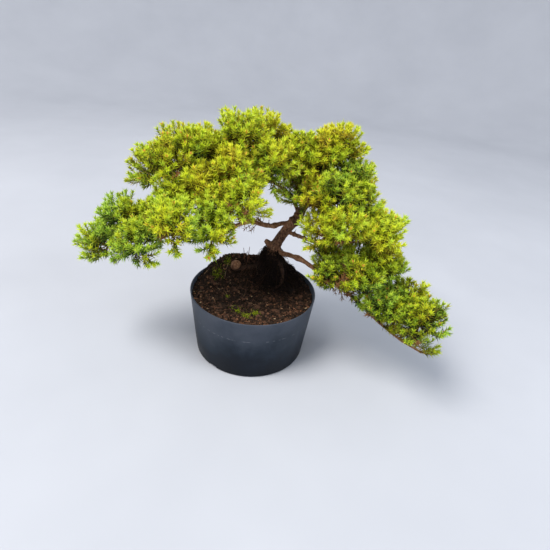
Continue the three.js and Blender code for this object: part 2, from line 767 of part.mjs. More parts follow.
// A needle is its bed's face drawn out to a point. It grows shorter and steeper until it crosses
// nothing, and a bed with no room stays bare
function growNeedle(bed, obstacles, draw) {
  const [a, b, c] = bed.face.corners;
  const middle = new THREE.Vector3().add(a).add(b).add(c).divideScalar(3);
  const lift = NEEDLE_ANGLE_FOOT + (NEEDLE_ANGLE_TIP - NEEDLE_ANGLE_FOOT) * bed.share;
  const angle = lift + 0.3 * (draw() - 0.5);
  const length = NEEDLE_LENGTH * (0.88 + 0.24 * draw());
  for (const [lengthShare, angleShare] of NEEDLE_TRIES) {
    const reach = length * lengthShare;
    const lean = angle * angleShare;
    const tip = middle.clone().addScaledVector(bed.way, reach * Math.sin(lean));
    tip.addScaledVector(bed.tangent, reach * Math.cos(lean));
    const sides = [faceOf(a, b, tip), faceOf(b, c, tip), faceOf(c, a, tip)];
    if (sides.every((side) => obstacles.every((face) => !facesCross(side, face)))) return sides;
  }
  return null;
}

function facesOfMesh(mesh) {
  const position = mesh.geometry.getAttribute("position");
  const index = mesh.geometry.index.array;
  const faces = [];
  for (let i = 0; i < index.length; i += 3) {
    const corners = [0, 1, 2].map((k) => new THREE.Vector3().fromBufferAttribute(position, index[i + k]));
    faces.push(faceOf(...corners));
  }
  return faces;
}

// A mesh from faces whose shared corners are the same objects
function meshOfFaces(name, faces, material) {
  const places = new Map();
  const index = [];
  for (const face of faces) {
    for (const corner of face.corners) {
      if (!places.has(corner)) places.set(corner, places.size);
      index.push(places.get(corner));
    }
  }
  const positions = [...places.keys()].flatMap((p) => [p.x, p.y, p.z]);
  const geometry = new THREE.BufferGeometry();
  geometry.setAttribute("position", new THREE.Float32BufferAttribute(positions, 3));
  geometry.setIndex(index);
  const mesh = new THREE.Mesh(geometry, material);
  mesh.name = name;
  return mesh;
}

function makeBunches(woodMesh) {
  const wood = woodRoom();
  const taken = [];
  const bunches = [];
  for (const clump of CLUMPS) {
    for (let i = 0; i < clump.bunches; i++) {
      const bunch = growBunch(clump, i, wood, taken);
      if (!bunch) continue;
      taken.push(...bunch.room);
      bunches.push({ name: `${clump.name}_bunch_${i + 1}`, ...bunchBody(bunch) });
    }
  }
  const woodFaces = facesOfMesh(woodMesh);
  const draw = drawsFrom(1);
  for (const bunch of bunches) {
    const reach = new THREE.Box3();
    for (const bed of bunch.beds) reach.union(bed.face.box);
    reach.expandByScalar(NEEDLE_LENGTH + 2);
    const others = bunches.filter((other) => other !== bunch).flatMap((other) => [...other.faces]);
    const near = [...woodFaces, ...others].filter((face) => reach.intersectsBox(face.box));
    for (const bed of bunch.beds) {
      const room = bed.face.box.clone().expandByScalar(NEEDLE_LENGTH + 1);
      const inRoom = (face) => face !== bed.face && room.intersectsBox(face.box);
      const sides = growNeedle(bed, [...near, ...bunch.faces].filter(inRoom), draw);
      if (!sides) continue;
      bunch.faces.delete(bed.face);
      for (const side of sides) bunch.faces.add(side);
    }
  }
  return bunches.map((bunch) => meshOfFaces(bunch.name, [...bunch.faces], foliageMaterial));
}

const group = new THREE.Group();
const wood = meshOf("trunk_and_branches", makeWood(), woodMaterial);
group.add(meshOf("pot", makePot(), potMaterial));
group.add(meshOf("soil", makeSoil().subtract(woodInSoil(GAP)), soilMaterial));
group.add(wood);
group.add(...makeBunches(wood));
export default group;
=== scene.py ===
import itertools
import math

import bmesh
import bpy
import numpy as np
from mathutils import Matrix, Vector, noise


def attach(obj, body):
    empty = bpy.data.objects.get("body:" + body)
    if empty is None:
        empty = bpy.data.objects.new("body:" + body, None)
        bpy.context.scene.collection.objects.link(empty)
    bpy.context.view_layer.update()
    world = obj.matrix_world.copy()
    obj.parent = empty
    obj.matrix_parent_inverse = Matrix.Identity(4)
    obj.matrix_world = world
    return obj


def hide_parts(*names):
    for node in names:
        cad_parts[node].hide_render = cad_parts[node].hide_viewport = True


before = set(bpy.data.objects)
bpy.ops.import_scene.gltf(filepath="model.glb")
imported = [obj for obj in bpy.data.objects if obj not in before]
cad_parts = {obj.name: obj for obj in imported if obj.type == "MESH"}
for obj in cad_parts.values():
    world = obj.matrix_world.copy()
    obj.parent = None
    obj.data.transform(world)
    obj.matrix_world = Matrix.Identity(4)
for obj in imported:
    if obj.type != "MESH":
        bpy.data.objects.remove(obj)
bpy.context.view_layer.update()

MM = 0.001
GOLDEN_ANGLE = math.pi * (3 - math.sqrt(5))
GOLDEN_RATIO = (1 + math.sqrt(5)) / 2
TURN = 2 * math.pi
UP = np.array([0.0, 0.0, 1.0])
# A direction that no shoot follows, to find the ways across a shoot with
SIDEWAYS = np.array([0.31, 0.52, 0.79])
# Where draws_from starts its row again
DRAW_RANGE = 2**32

# Bowl and soil, as in the solids
POT_HEIGHT = 75
POT_FOOT_RADIUS = 61.8
POT_RIM_RADIUS = 68.8
POT_WALL = 1.4
POT_FLOOR = 1.6
POT_FOOT_ROUND = 2.2
POT_CORNER = 2
POT_RING_HEIGHTS = (20, 40, 60)
POT_SIDES = 144
SHARP_ANGLE = math.radians(35)
NOTCH_COUNT = 3
NOTCH_WIDTH = 11
NOTCH_HEIGHT = 3
NOTCH_DEPTH = 8
FIRST_NOTCH_ANGLE = math.radians(235)
SCRATCH_HEIGHT = 52
GAP = 0.3
SOIL_LEVEL = 69
SOIL_BANK = {"y": 41, "depth": 19, "height": 23, "right_edge": 24, "right_fall": 34, "right_drop": 0.5}
ROOT_MOUND = {"x": 16, "y": 28, "spread": 14, "height": 20}
SOIL_DIP = {"x": 54, "y": -4, "spread": 22, "depth": 4}
SOIL_EDGE_START = 52
SOIL_GAP = 0.05
SOIL_RINGS = 62
SOIL_SIDES = 150
LUMP_HEIGHT = 2.1

# Stems of the leafy bunches, as in the solids
STEM_RADIUS = 0.95
LEAFY_REACH = 3.2
STEM_SAMPLE = 3
AT_FOOT = 2.2
CORE_RADIUS = 5.6
CORE_STRETCH = 1.5
# Just over the edge of a core before it is scaled
CORE_EDGE = 2.1
STALK_RADIUS = 1
STALK_AT_TIP = 9
SHORTEST_STALK = 7
SHOOT_LENGTH = 25
SHOOT_BARE = 4
MOST_SHOOTS = 6
LEAST_SHOOTS = 4
SHOOTS_APART = 0.66
OWN_START = 8
OWN_REACH = 3.4
BRANCH_STEP = 12.5

# The wood: each branch has its points and its radii from foot to tip
BRANCHES = {
    "trunk": (
        [[14, 33, 80], [16, 31, 97], [17, 30, 109], [22, 27, 122], [28, 25, 135], [35, 24, 146],
         [41, 25, 155], [45, 26, 166], [45, 27, 178]],
        [7.2, 8, 7, 5.6, 5.2, 5.6, 4.8, 4.4, 3.6],
    ),
    "stub": ([[18, 30, 112], [12, 28, 117], [8, 27, 121]], [4.4, 3.6, 2.8]),
    "left": (
        [[35, 24, 146], [25, 21, 146], [14, 14, 145], [2, 6, 149], [-8, 0, 153], [-21, -10, 152],
         [-35, -22, 150], [-50, -32, 150], [-65, -38, 153], [-81, -38, 153], [-100, -36, 147],
         [-117, -34, 139], [-130, -31, 132]],
        [2.6, 1.1],
    ),
    "left_upper": (
        [[-8, 0, 153], [-15, -8, 166], [-22, -15, 180], [-31, -21, 190], [-44, -20, 196],
         [-58, -15, 199], [-71, -9, 199], [-83, -5, 196]],
        [2.1, 1.1],
    ),
    "crown": (
        [[45, 27, 178], [34, 24, 191], [19, 18, 203.6], [4, 12, 211.4], [-14, 8, 216], [-30, 6, 215],
         [-42, 7, 211]],
        [3.2, 1.1],
    ),
    "right_upper": ([[45, 27, 178], [48, 26, 190], [54, 24, 202], [60, 20, 211]], [3, 1.1]),
    "right_shoulder": ([[54, 24, 199], [62, 18, 196], [70, 11, 191], [78, 5, 187]], [2, 1.1]),
    "right_middle": (
        [[33, 26, 134], [45, 20, 133], [56, 12, 134], [70, 2, 138], [85, -8, 144], [102, -18, 152]],
        [2.3, 1.1],
    ),
    "cascade": (
        [[18, 30, 110], [28, 24, 109], [38, 18, 110], [49, 11, 110], [60, 4, 107], [75, -6, 103],
         [90, -16, 98], [105, -26, 92], [119, -34, 84], [133, -41, 75], [147, -47, 67], [160, -50, 60],
         [172, -51, 54], [181, -51, 49]],
        [3, 0.9],
    ),
    "back_left": ([[41, 25, 157], [32, 42, 167], [14, 58, 176], [-8, 68, 181], [-28, 71, 183]], [2.4, 1.1]),
    "back_right": ([[44, 26, 163], [54, 42, 169], [66, 54, 173], [80, 60, 174]], [2.2, 1.1]),
}
ROOTS = [
    ([[12, 31], [0, 31], [-12, 30], [-22, 28]], [3.6, 2.6]),
    ([[18, 28], [28, 26], [30, 18], [19, 8]], [3.6, 2]),
    ([[22, 34], [34, 40], [46, 38]], [3.6, 1.3]),
    ([[12, 38], [2, 47], [-14, 50]], [3.4, 1.3]),
]
ROOT_RISE = -0.45
# How much of the roots the loose peat covers here
ROOT_SINK = 1.3
KNOB = {"x": -23.5, "y": 28, "radius": 6.6, "rise": 1.5}
# Where the wood leaves no place for crumbs: middle and reach
WOOD_SPOTS = [(14, 32, 8), (KNOB["x"], KNOB["y"], 6.5)]

# Bark: the skin's grain, ridges, swellings, and how young the roots and the knob look
VOXEL = 0.62
RING_STEP = 1.1
BARK_RELIEF = 0.45
KNOT_STEP = 16
KNOT_REACH = 0.018
ROOT_YOUTH = -0.3
ROOT_SHADE = 0.42
KNOB_YOUTH = 1.1
KNOB_RELIEF = 0.3
# Painted shade on the knob: how much darker it is at its middle, more so below, and how much lighter again at
# its top
KNOB_PAINTED_SHADE = (0.22, 0.3)
# How many corners are compared with the wood at a time
GROUP = 4000

# Each clump: branch, from, to, bunches, turn, centre and size as in the solids, then how blue its green
# is and how light its heart is, which also paints shade on the clumps at the back and low on the cascade
CLUMPS = {
    "far_left": ("left", 0.68, 1, 4, 0.4, [-112, -26, 140], [20, 18, 10], 0.85, 0.16),
    "front_left": ("left", 0.4, 0.74, 4, 2, [-68, -38, 168], [34, 14, 8], 0.25, 0.26),
    "low_left": ("left", 0.3, 0.66, 2, 3.3, [-61, -39, 151], [26, 4, 4], 0.35, 0.2),
    "middle_left": ("left_upper", 0.08, 0.6, 4, 1, [-30, -22, 186], [17, 14, 14], -0.1, 0.3),
    "upper_left": ("left_upper", 0.5, 1, 5, 3.4, [-76, -3, 204], [22, 16, 17], 0.15, 0.08),
    "crown": ("crown", 0.45, 1, 5, 4.6, [-9, 9, 211], [25, 16, 12], 0.3, 0.18),
    "middle": ("crown", 0.12, 0.5, 2, 5, [27, 24, 207], [12, 16, 14], 0.2, 0.04),
    "inner_right": ("right_middle", 0.1, 0.4, 1, 5, [55, 1, 178], [8, 6, 8], -0.2, 0.18),
    "upper_right": ("right_upper", 0.3, 1, 3, 3.2, [53, 20, 207], [20, 18, 12], -0.1, 0.12),
    "shoulder_right": ("right_shoulder", 0.3, 1, 4, 4.3, [64, 5, 183], [15, 16, 14], 0.5, 0.0),
    "middle_right": ("right_middle", 0.2, 1, 4, 2, [92, -16, 156], [26, 13, 12], 0.15, 0.32),
    "cascade": ("cascade", 0.26, 0.62, 5, 5.9, [110, -26, 114], [30, 14, 10], 0.35, -0.05),
    "cascade_tip": ("cascade", 0.58, 0.96, 4, 0.3, [152, -41, 91], [5, 15, 4], 0.35, -0.08),
    "cascade_low": ("cascade", 0.5, 0.82, 1, 2, [130, -45, 88], [4, 4, 5], 0.35, -0.04),
    "inner_cascade": ("cascade", 0.12, 0.36, 1, 2, [68, -6, 111], [9, 11, 4], 0.25, 0.02),
    "back_left": ("back_left", 0.45, 1, 3, 1, [-26, 72, 188], [28, 16, 12], 0.3, 0.04),
    "back_right": ("back_right", 0.3, 1, 2, 0, [76, 60, 180], [22, 16, 12], 0.3, 0.04),
}
# Places with brown dead needles, each with its reach
DEAD_SPOTS = [
    (93, -37, 132, 6), (86, -48, 121, 7), (97, -48, 120, 6), (104, -35, 126, 5), (88, -14, 108, 8),
    (46, -18, 186, 5), (58, -15, 167, 6), (-12, -47, 177, 6), (-10, 5, 190, 8), (-68, -66, 155, 4),
    (-42, -36, 186, 4),
]
LOWEST_AIM = -0.42
BUNCH_TRIES = 40
TRY_STEP = 1.1
BUNCH_RISE = 0.4
SHOOT_TRIES = [1, 0.8]

# Needles and the fine shoots that only this dress has
NEEDLE = {"length": 6.5, "width": 1.3, "depth": 0.55}
# Its corners are two at its foot, its keel and its tip, and its first face is its upper side
NEEDLE_FACES = np.array([[0, 1, 3], [1, 2, 3], [2, 0, 3]])
NEEDLE_AGES = (-0.18, -0.18, -0.3, 0.22)
# Rings of young needles at a shoot's tip: how many, how far they lean and how long they are
TUFT_RINGS = ((5, 0.55, 4.6), (3, 0.18, 3.6))
# How light the green is in a bunch's heart, and how much it gains outward, upward and to a shoot's tip:
# painted shade in the heart and painted light on the upper side, while the tips are also truly paler young
# growth
HEART_TONE = 0.11
OUTWARD_TONE = 0.58
UPPER_PAINTED_LIGHT = 0.14
TIP_TONE = 0.38
# How much the needles of a shoot differ in tone, and shoots in how blue they are
NEEDLE_TONES = 0.33
COOL_SPREAD = 0.35
COOL_PATCHES = 1.5
GOLDEN_FOOT = 1.1
WHORL_PITCH = (2.2, 1.5)
LEAN_FOOT = math.radians(62)
LEAN_TIP = math.radians(31)
SIDE_COUNT = 5
SIDE_FROM = 0.15
SIDE_TO = 0.66
SIDE_REACH = 3.9
SIDE_ANGLE = math.radians(42)
CORE_SHOOT_LENGTH = 21
BUNCH_REACH = 30
# Short shoots straight from the branches: from which share, how many millimetres apart and the longest
SPRIGS = {
    "left": (0.32, 4.5, 16), "left_upper": (0.1, 5, 15), "crown": (0.2, 5, 15), "right_upper": (0.3, 5, 15),
    "right_shoulder": (0.2, 5, 15), "right_middle": (0.35, 5, 15), "cascade": (0.32, 2.4, 22),
    "back_left": (0.4, 5, 15), "back_right": (0.4, 5, 15),
}
# Where the dead ones grow: from, to, how many and the longest
OLD_SPRIGS = {
    "crown": (0.03, 0.3, 22, 15), "trunk": (0.86, 1, 8, 17), "right_upper": (0.02, 0.25, 6, 13),
    "cascade": (0.38, 0.52, 14, 12), "left": (0.2, 0.34, 12, 13),
}
DEAD_SHARE = 0.07
BUD_SHARE = 0.16

# Loose crumbs: how many, sizes, tones, height share, and whether they lie near the front edge
CRUMBS = [
    (1500, (0.4, 1.4), (0.05, 0.5), 1, False),
    (240, (1.0, 2.6), (0.05, 0.5), 0.6, False),
    (260, (0.6, 1.9), (0.3, 0.66), 0.4, False),
    (190, (0.4, 1.4), (0.58, 0.86), 0.5, False),
    (60, (0.5, 1.3), (0.85, 1.0), 0.4, False),
    (520, (0.25, 0.9), (0.4, 0.74), 0.55, True),
]
# Fine roots: how many, how many of them hang, where on the trunk, shift of the others, reach of all
HAIRS = {"count": 760, "hanging": 220, "from": 0.22, "shift": 8, "edge": 60}
# Place, height and lean of the old twigs that stand at the bank's crest
OLD_TWIGS = [(-14, 34, 15, -3), (-11, 33, 19, 2), (-17, 35, 9, 4), (-8, 34, 11, -4)]
MOSS_PATCHES = [(-14, -38, 6), (6, -40, 6), (-3, -45, 6), (-44, 20, 7), (-34, 32, 5), (-26, -16, 3)]
MOSS_EDGE = 62

# Colours from dark to light, each with its place
LEAF_STOPS = [
    (0.0, (0.008, 0.015, 0.002)), (0.25, (0.055, 0.078, 0.004)), (0.5, (0.215, 0.275, 0.005)),
    (0.75, (0.455, 0.555, 0.009)), (1.0, (0.68, 0.74, 0.03)),
]
GOLD_STOPS = [
    (0.0, (0.02, 0.011, 0.002)), (0.25, (0.1, 0.065, 0.005)), (0.5, (0.31, 0.215, 0.011)),
    (0.75, (0.55, 0.42, 0.018)), (1.0, (0.76, 0.66, 0.04)),
]
COOL_STOPS = [
    (0.0, (0.004, 0.014, 0.005)), (0.25, (0.02, 0.058, 0.012)), (0.5, (0.09, 0.2, 0.024)),
    (0.75, (0.25, 0.43, 0.04)), (1.0, (0.46, 0.66, 0.08)),
]
BAND_COLOUR = (0.56, 0.64, 0.14)
TWIG_STOPS = [
    (0.0, (0.07, 0.035, 0.015)), (0.3, (0.22, 0.11, 0.02)), (0.55, (0.46, 0.28, 0.025)),
    (0.9, (0.52, 0.42, 0.03)),
]
GREY_BARK_STOPS = [(0.3, (0.035, 0.017, 0.009)), (0.5, (0.125, 0.058, 0.029)), (0.72, (0.33, 0.18, 0.095))]
RED_BARK_STOPS = [(0.3, (0.07, 0.029, 0.014)), (0.5, (0.28, 0.132, 0.068)), (0.74, (0.5, 0.31, 0.17))]
# Painted shade for the bark's cracks, the roots and the knob's lower half
PAINTED_BARK_SHADE = (0.02, 0.012, 0.009)
PEAT_STOPS = [(0.38, (0.004, 0.003, 0.002)), (0.55, (0.025, 0.015, 0.009)), (0.75, (0.1, 0.057, 0.034))]
CRUMB_STOPS = [
    (0.0, (0.009, 0.006, 0.004)), (0.3, (0.05, 0.027, 0.016)), (0.55, (0.13, 0.06, 0.033)),
    (0.75, (0.26, 0.11, 0.052)), (1.0, (0.46, 0.33, 0.19)),
]
# Middle and reach of the shaded bank, across and in depth, in millimetres
BANK_SHADE = {"X": (30, 40), "Y": (22, 27)}
SHADE_COLOUR = (0.007, 0.0045, 0.0035)
# Pot colours from foot to rim: painted shade and a painted dark reflection towards the foot, dust haze
# towards the rim
HAZE_AND_PAINTED_SHADE_STOPS = [
    (0.0, (0.001, 0.003, 0.007)), (0.3, (0.004, 0.008, 0.015)), (0.5, (0.013, 0.021, 0.033)),
    (0.8, (0.042, 0.052, 0.07)), (1.0, (0.058, 0.068, 0.088)),
]
SPECK_COLOUR = (0.13, 0.14, 0.155)
SCRATCH_COLOUR = (0.22, 0.24, 0.27)
FLOOR_STOPS = [(0.3, (0.45, 0.465, 0.5)), (0.7, (0.49, 0.505, 0.54))]
# Sockets of a mix of colours: share, first and second colour, and the result
COLOUR_MIX_INPUTS = (0, 6, 7)
COLOUR_MIX_OUTPUT = 2

# The room, in metres
WALL_FOOT = 1.6
WALL_BEND = 0.9
WALL_TOP = 1.5
WALL_CREST = 3.6
STAGE_SIDES = 96
SKY_COLOUR = (0.84, 0.89, 1)
SKY_STRENGTH = 0.8

# Camera, as a real one would stand in front of the plant
CAMERA_PLACE = (22.3, -387, 320)
CAMERA_PITCH = 30.3
CAMERA_ROLL = 5.9
CAMERA_LENS = 27.03
SENSOR = 36


# Numbers and curves
def draws_from(seed):
    """A repeatable row of draws between 0 and 1, the same as in the solids."""
    state = (seed * 7919 + 12345) % DRAW_RANGE

    def draw():
        nonlocal state
        state = (state * 1664525 + 1013904223) % DRAW_RANGE
        return state / DRAW_RANGE

    return draw


def unit(v):
    """A direction, or rows of them, made one long."""
    return v / np.linalg.norm(v, axis=-1, keepdims=True)


def across(way):
    """Two directions across a way and across each other, or rows of them."""
    side = unit(np.cross(way, SIDEWAYS))
    return side, np.cross(way, side)


def polar(radius, angle):
    return radius * math.cos(angle), radius * math.sin(angle)


def length_of(points):
    return np.linalg.norm(np.diff(points, axis=0), axis=1).sum()


def smooth_step(low, high, value):
    t = np.clip((value - low) / (high - low), 0, 1)
    return t * t * (3 - 2 * t)


class Curve:
    """A curve with a point at each share of the way from 0 to 1."""

    def __init__(self, at):
        self.at = at

    def tangent(self, t):
        step = 0.0001
        return unit(self.at(min(1, t + step)) - self.at(max(0, t - step)))

    def points(self, count):
        return np.array([self.at(t) for t in np.linspace(0, 1, count)])

    def length(self):
        return length_of(self.points(201))


def through(points):
    """A smooth curve through points."""
    p = np.array(points, float)
    p = np.vstack([2 * p[0] - p[1], p, 2 * p[-1] - p[-2]])
    last = len(points) - 1

    def at(t):
        place = last * t
        i = min(int(place), last - 1)
        w = place - i
        a, b, c, d = p[i], p[i + 1], p[i + 2], p[i + 3]
        first, second = 0.5 * (c - a), 0.5 * (d - b)
        return (
            b + first * w + (3 * (c - b) - 2 * first - second) * w**2
            + (2 * (b - c) + first + second) * w**3
        )

    return Curve(at)


def bezier(*p):
    """A curve that is pulled towards the points between its two ends."""
    n = len(p) - 1
    return Curve(lambda t: sum(math.comb(n, i) * (1 - t) ** (n - i) * t**i * p[i] for i in range(n + 1)))


def radius_along(radii, share):
    return np.interp(share, np.linspace(0, 1, len(radii)), radii)


def soil_height(x, y):
    edge = smooth_step(SOIL_EDGE_START, POT_RIM_RADIUS, np.hypot(x, y))
    right = smooth_step(0, SOIL_BANK["right_fall"], x - SOIL_BANK["right_edge"])
    right_share = 1 - SOIL_BANK["right_drop"] * right
    bank = np.exp(-(((y - SOIL_BANK["y"]) / SOIL_BANK["depth"]) ** 2)) * right_share * (1 - 0.65 * edge)
    from_mound = np.hypot(x - ROOT_MOUND["x"], y - ROOT_MOUND["y"]) / ROOT_MOUND["spread"]
    from_dip = np.hypot(x - SOIL_DIP["x"], y - SOIL_DIP["y"]) / SOIL_DIP["spread"]
    crumbs = 0.6 * np.sin(x * 0.31 + y * 0.17) + 0.6 * np.sin(y * 0.37 - x * 0.11)
    return (
        SOIL_LEVEL + SOIL_BANK["height"] * bank + ROOT_MOUND["height"] * np.exp(-(from_mound**4))
        - SOIL_DIP["depth"] * np.exp(-(from_dip**2)) + crumbs
    )


# Where the leafy bunches grow, worked out as in the solids
CURVES = {name: through(points) for name, (points, radii) in BRANCHES.items()}
RINGS = {name: max(2, math.floor(curve.length() / BRANCH_STEP + 0.5)) for name, curve in CURVES.items()}


def is_clear(places, *rooms):
    """Whether places keep the gap from all that fills the rooms."""
    a = np.array(places)
    for b in (np.array(room) for room in rooms if room):
        apart = np.linalg.norm(a[:, None, :3] - b[None, :, :3], axis=2)
        if (apart < a[:, None, 3] + b[None, :, 3] + GAP).any():
            return False
    return True


def is_apart(places, others):
    a = np.array([p[:3] for p in places if p[4] > OWN_START])
    b = np.array([p[:3] for p in others if p[4] > OWN_START])
    if not len(a) or not len(b):
        return True
    return (np.linalg.norm(a[:, None] - b[None], axis=2) > OWN_REACH).all()


def room_of(stem):
    """Rows of place, reach and distance along a stem."""
    count = math.ceil(stem["length"] / STEM_SAMPLE)
    places = []
    for k in range(count + 1):
        along = (k / count) * stem["length"]
        reach = LEAFY_REACH if along > stem["bare"] else stem["radius"]
        places.append((*stem["curve"].at(k / count), reach, along))
    return places


def wood_room():
    """The same rows for the branches."""
    places = []
    for name, (points, radii) in BRANCHES.items():
        count = 14 * (len(points) - 1)
        for k in range(count + 1):
            places.append((*CURVES[name].at(k / count), radius_along(radii, k / count), 0))
    return places


def nearest_ring(name, start, end, point):
    """The share along a branch, between two shares, of the ring that is nearest to a point."""
    rings = RINGS[name]
    shares = [k for k in range(math.ceil(start * rings), rings) if k <= end * rings]
    return min(shares, key=lambda k: np.linalg.norm(CURVES[name].at(k / rings) - point)) / rings


def core_shape():
    """Corners and triangles of a body with twenty equal faces."""
    corners = []
    for s in (-1, 1):
        for t in (-GOLDEN_RATIO, GOLDEN_RATIO):
            corners += [[0, s, t], [s, t, 0], [t, 0, s]]
    corners = np.array(corners, float)
    faces = []
    for a, b, c in itertools.combinations(range(len(corners)), 3):
        p, q, r = corners[[a, b, c]]
        if max(np.linalg.norm(p - q), np.linalg.norm(q - r), np.linalg.norm(r - p)) < CORE_EDGE:
            outward = np.cross(q - p, r - p) @ p > 0
            faces.append((a, b, c) if outward else (a, c, b))
    return corners / np.linalg.norm(corners[0]), faces


CORE = core_shape()


def core_faces(centre, axis, draw):
    side = np.array([axis[1], -axis[0], 0])
    if np.linalg.norm(side) < 0.1:
        side = np.array([1.0, 0, 0])
    side = unit(side)
    other = np.cross(axis, side)
    corners = []
    for corner in CORE[0]:
        size = CORE_RADIUS * (0.85 + 0.3 * draw())
        corners.append(
            centre + side * corner[0] * size + other * corner[1] * size
            + axis * corner[2] * size * CORE_STRETCH
        )
    faces = []
    for face in CORE[1]:
        a, b, c = (corners[k] for k in face)
        faces.append({"middle": (a + b + c) / 3, "way": unit(np.cross(b - a, c - a))})
    return faces


def root_of(clump, at_end, point):
    """Where a bunch leaves its branch, and in which direction."""
    name, start, end = clump[:3]
    curve = CURVES[name]
    share = 1 if at_end else nearest_ring(name, start, end, point)
    foot = curve.at(share)
    tangent = curve.tangent(share)
    if at_end:
        return foot + tangent * GAP, tangent
    outward = point - foot
    outward = unit(outward - tangent * (outward @ tangent))
    return foot + outward * (radius_along(BRANCHES[name][1], share) + GAP), outward


def wanted_place(clump, index, at_end):
    name, start, end, bunches, turn, centre, size = clump[:7]
    if at_end:
        return CURVES[name].at(1) + CURVES[name].tangent(1) * (STALK_AT_TIP + CORE_RADIUS * CORE_STRETCH)
    height = 1 - ((1 - LOWEST_AIM) * (index + 0.5)) / bunches
    angle = index * GOLDEN_ANGLE + turn
    way = np.array([*polar(math.sqrt(1 - height * height), angle), height])
    return np.array(centre, float) + way * np.array(size)


def shoot_on(face, axis, length):
    way = unit(face["way"] + 0.3 * axis + 0.15 * UP)
    end_way = unit(way + 0.3 * UP)
    middle = face["middle"]
    curve = bezier(middle, middle + way * (0.5 * length), middle + end_way * length)
    return {"curve": curve, "length": length, "bare": SHOOT_BARE, "radius": STEM_RADIUS}


def add_shoots(bunch, wood, taken, draw):
    leans = [(face["way"] @ bunch["axis"] + 0.35 * draw(), face) for face in bunch["faces"]]
    for lean, face in sorted(leans, key=lambda pair: -pair[0]):
        if len(bunch["shoots"]) >= MOST_SHOOTS:
            return
        if any(bed["way"] @ face["way"] > SHOOTS_APART for bed in bunch["beds"]):
            continue
        for share in SHOOT_TRIES:
            shoot = shoot_on(face, bunch["axis"], SHOOT_LENGTH * share * (0.88 + 0.24 * draw()))
            room = room_of(shoot)
            if is_clear(room, taken, wood) and is_apart(room, bunch["room"]):
                bunch["shoots"].append(shoot)
                bunch["beds"].append(face)
                bunch["room"] += room
                break


def grow_bunch(order, name, index, wood, taken):
    clump = CLUMPS[name]
    draw = draws_from(1000 * (order + 1) + index)
    at_end = index == 0 and clump[2] == 1
    wanted = wanted_place(clump, index, at_end)
    for attempt in range(BUNCH_TRIES):
        shift = np.array([draw() - 0.5, draw() - 0.5, draw() - 0.5])
        centre = wanted + shift * (TRY_STEP * attempt)
        foot, outward = root_of(clump, at_end, centre)
        axis = unit(unit(centre - foot) + BUNCH_RISE * UP)
        faces = core_faces(centre, axis, draw)
        reach = CORE_RADIUS * (CORE_STRETCH - 1)
        core = [(*(centre + axis * (end * reach)), CORE_RADIUS, 0) for end in (-1, 0, 1)]
        if not is_clear(core, taken, wood):
            continue
        back = unit(foot - centre)
        bed = max(faces, key=lambda face: face["way"] @ back)
        length = np.linalg.norm(bed["middle"] - foot)
        if length < SHORTEST_STALK:
            continue
        bends = bezier(
            bed["middle"], bed["middle"] + bed["way"] * (0.3 * length), foot + outward * (0.35 * length), foot
        )
        stalk = {"curve": bends, "length": length, "bare": length, "radius": STALK_RADIUS}
        room = room_of(stalk)
        off_bark = [place for place in room if place[4] < length - AT_FOOT]
        if not is_clear(room, taken) or not is_clear(off_bark, wood):
            continue
        bunch = {
            "name": f"{name}_bunch_{index + 1}", "centre": centre, "axis": axis, "faces": faces,
            "stalk": stalk, "foot": foot, "outward": outward, "shoots": [], "beds": [bed],
            "room": core + room, "cool": clump[7], "tone": clump[8],
        }
        add_shoots(bunch, wood, taken, draw)
        if len(bunch["shoots"]) >= LEAST_SHOOTS:
            return bunch
    return None


def find_bunches():
    wood = wood_room()
    taken = []
    bunches = []
    for order, name in enumerate(CLUMPS):
        for index in range(CLUMPS[name][3]):
            bunch = grow_bunch(order, name, index, wood, taken)
            if bunch:
                taken += bunch["room"]
                bunches.append(bunch)
    return bunches


# Meshes
def put(name, data):
    """An object of the scene."""
    thing = bpy.data.objects.new(name, data)
    bpy.context.scene.collection.objects.link(thing)
    return thing


def piece_of(name, mesh, nodes=()):
    """An object that rides on the part and stands for the named solids."""
    thing = put(name, mesh)
    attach(thing, "root")
    if nodes:
        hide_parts(*nodes)
    return thing


def mesh_of(name, points, faces):
    mesh = bpy.data.meshes.new(name)
    mesh.from_pydata(points, [], faces)
    return mesh


def applied(thing):
    """A mesh of the object with its modifiers applied."""
    bpy.context.view_layer.update()
    return bpy.data.meshes.new_from_object(thing.evaluated_get(bpy.context.evaluated_depsgraph_get()))


def read_points(mesh, name):
    """The places or the normals of a mesh's points."""
    numbers = np.empty(len(mesh.vertices) * 3, np.float32)
    mesh.vertices.foreach_get(name, numbers)
    return numbers.reshape(-1, 3)


def set_values(mesh, **values):
    """Gives each point of a mesh the values that its material reads."""
    for name, numbers in values.items():
        if name not in mesh.attributes:
            mesh.attributes.new(name, "FLOAT", "POINT")
        mesh.attributes[name].data.foreach_set("value", numbers.astype(np.float32))


def ball_of(subdivisions, radius):
    """Points and triangles of a ball."""
    ball = bmesh.new()
    bmesh.ops.create_icosphere(ball, subdivisions=subdivisions, radius=radius)
    points = np.array([v.co for v in ball.verts])
    faces = [[v.index for v in f.verts] for f in ball.faces]
    ball.free()
    return points, faces


def turned(outline, sides):
    """Points and faces of an outline turned about the middle. A place on the axis gives one point."""
    points = []
    rings = []
    for radius, height in outline:
        count = sides if radius else 1
        rings.append(range(len(points), len(points) + count))
        points += [(*polar(radius, k * TURN / sides), height) for k in range(count)]
    faces = []
    for low, high in zip(rings, rings[1:]):
        for k in range(sides):
            after = (k + 1) % sides
            corners = low[k % len(low)], low[after % len(low)], high[after % len(high)], high[k % len(high)]
            faces.append(list(dict.fromkeys(corners)))
    return np.array(points, float), faces


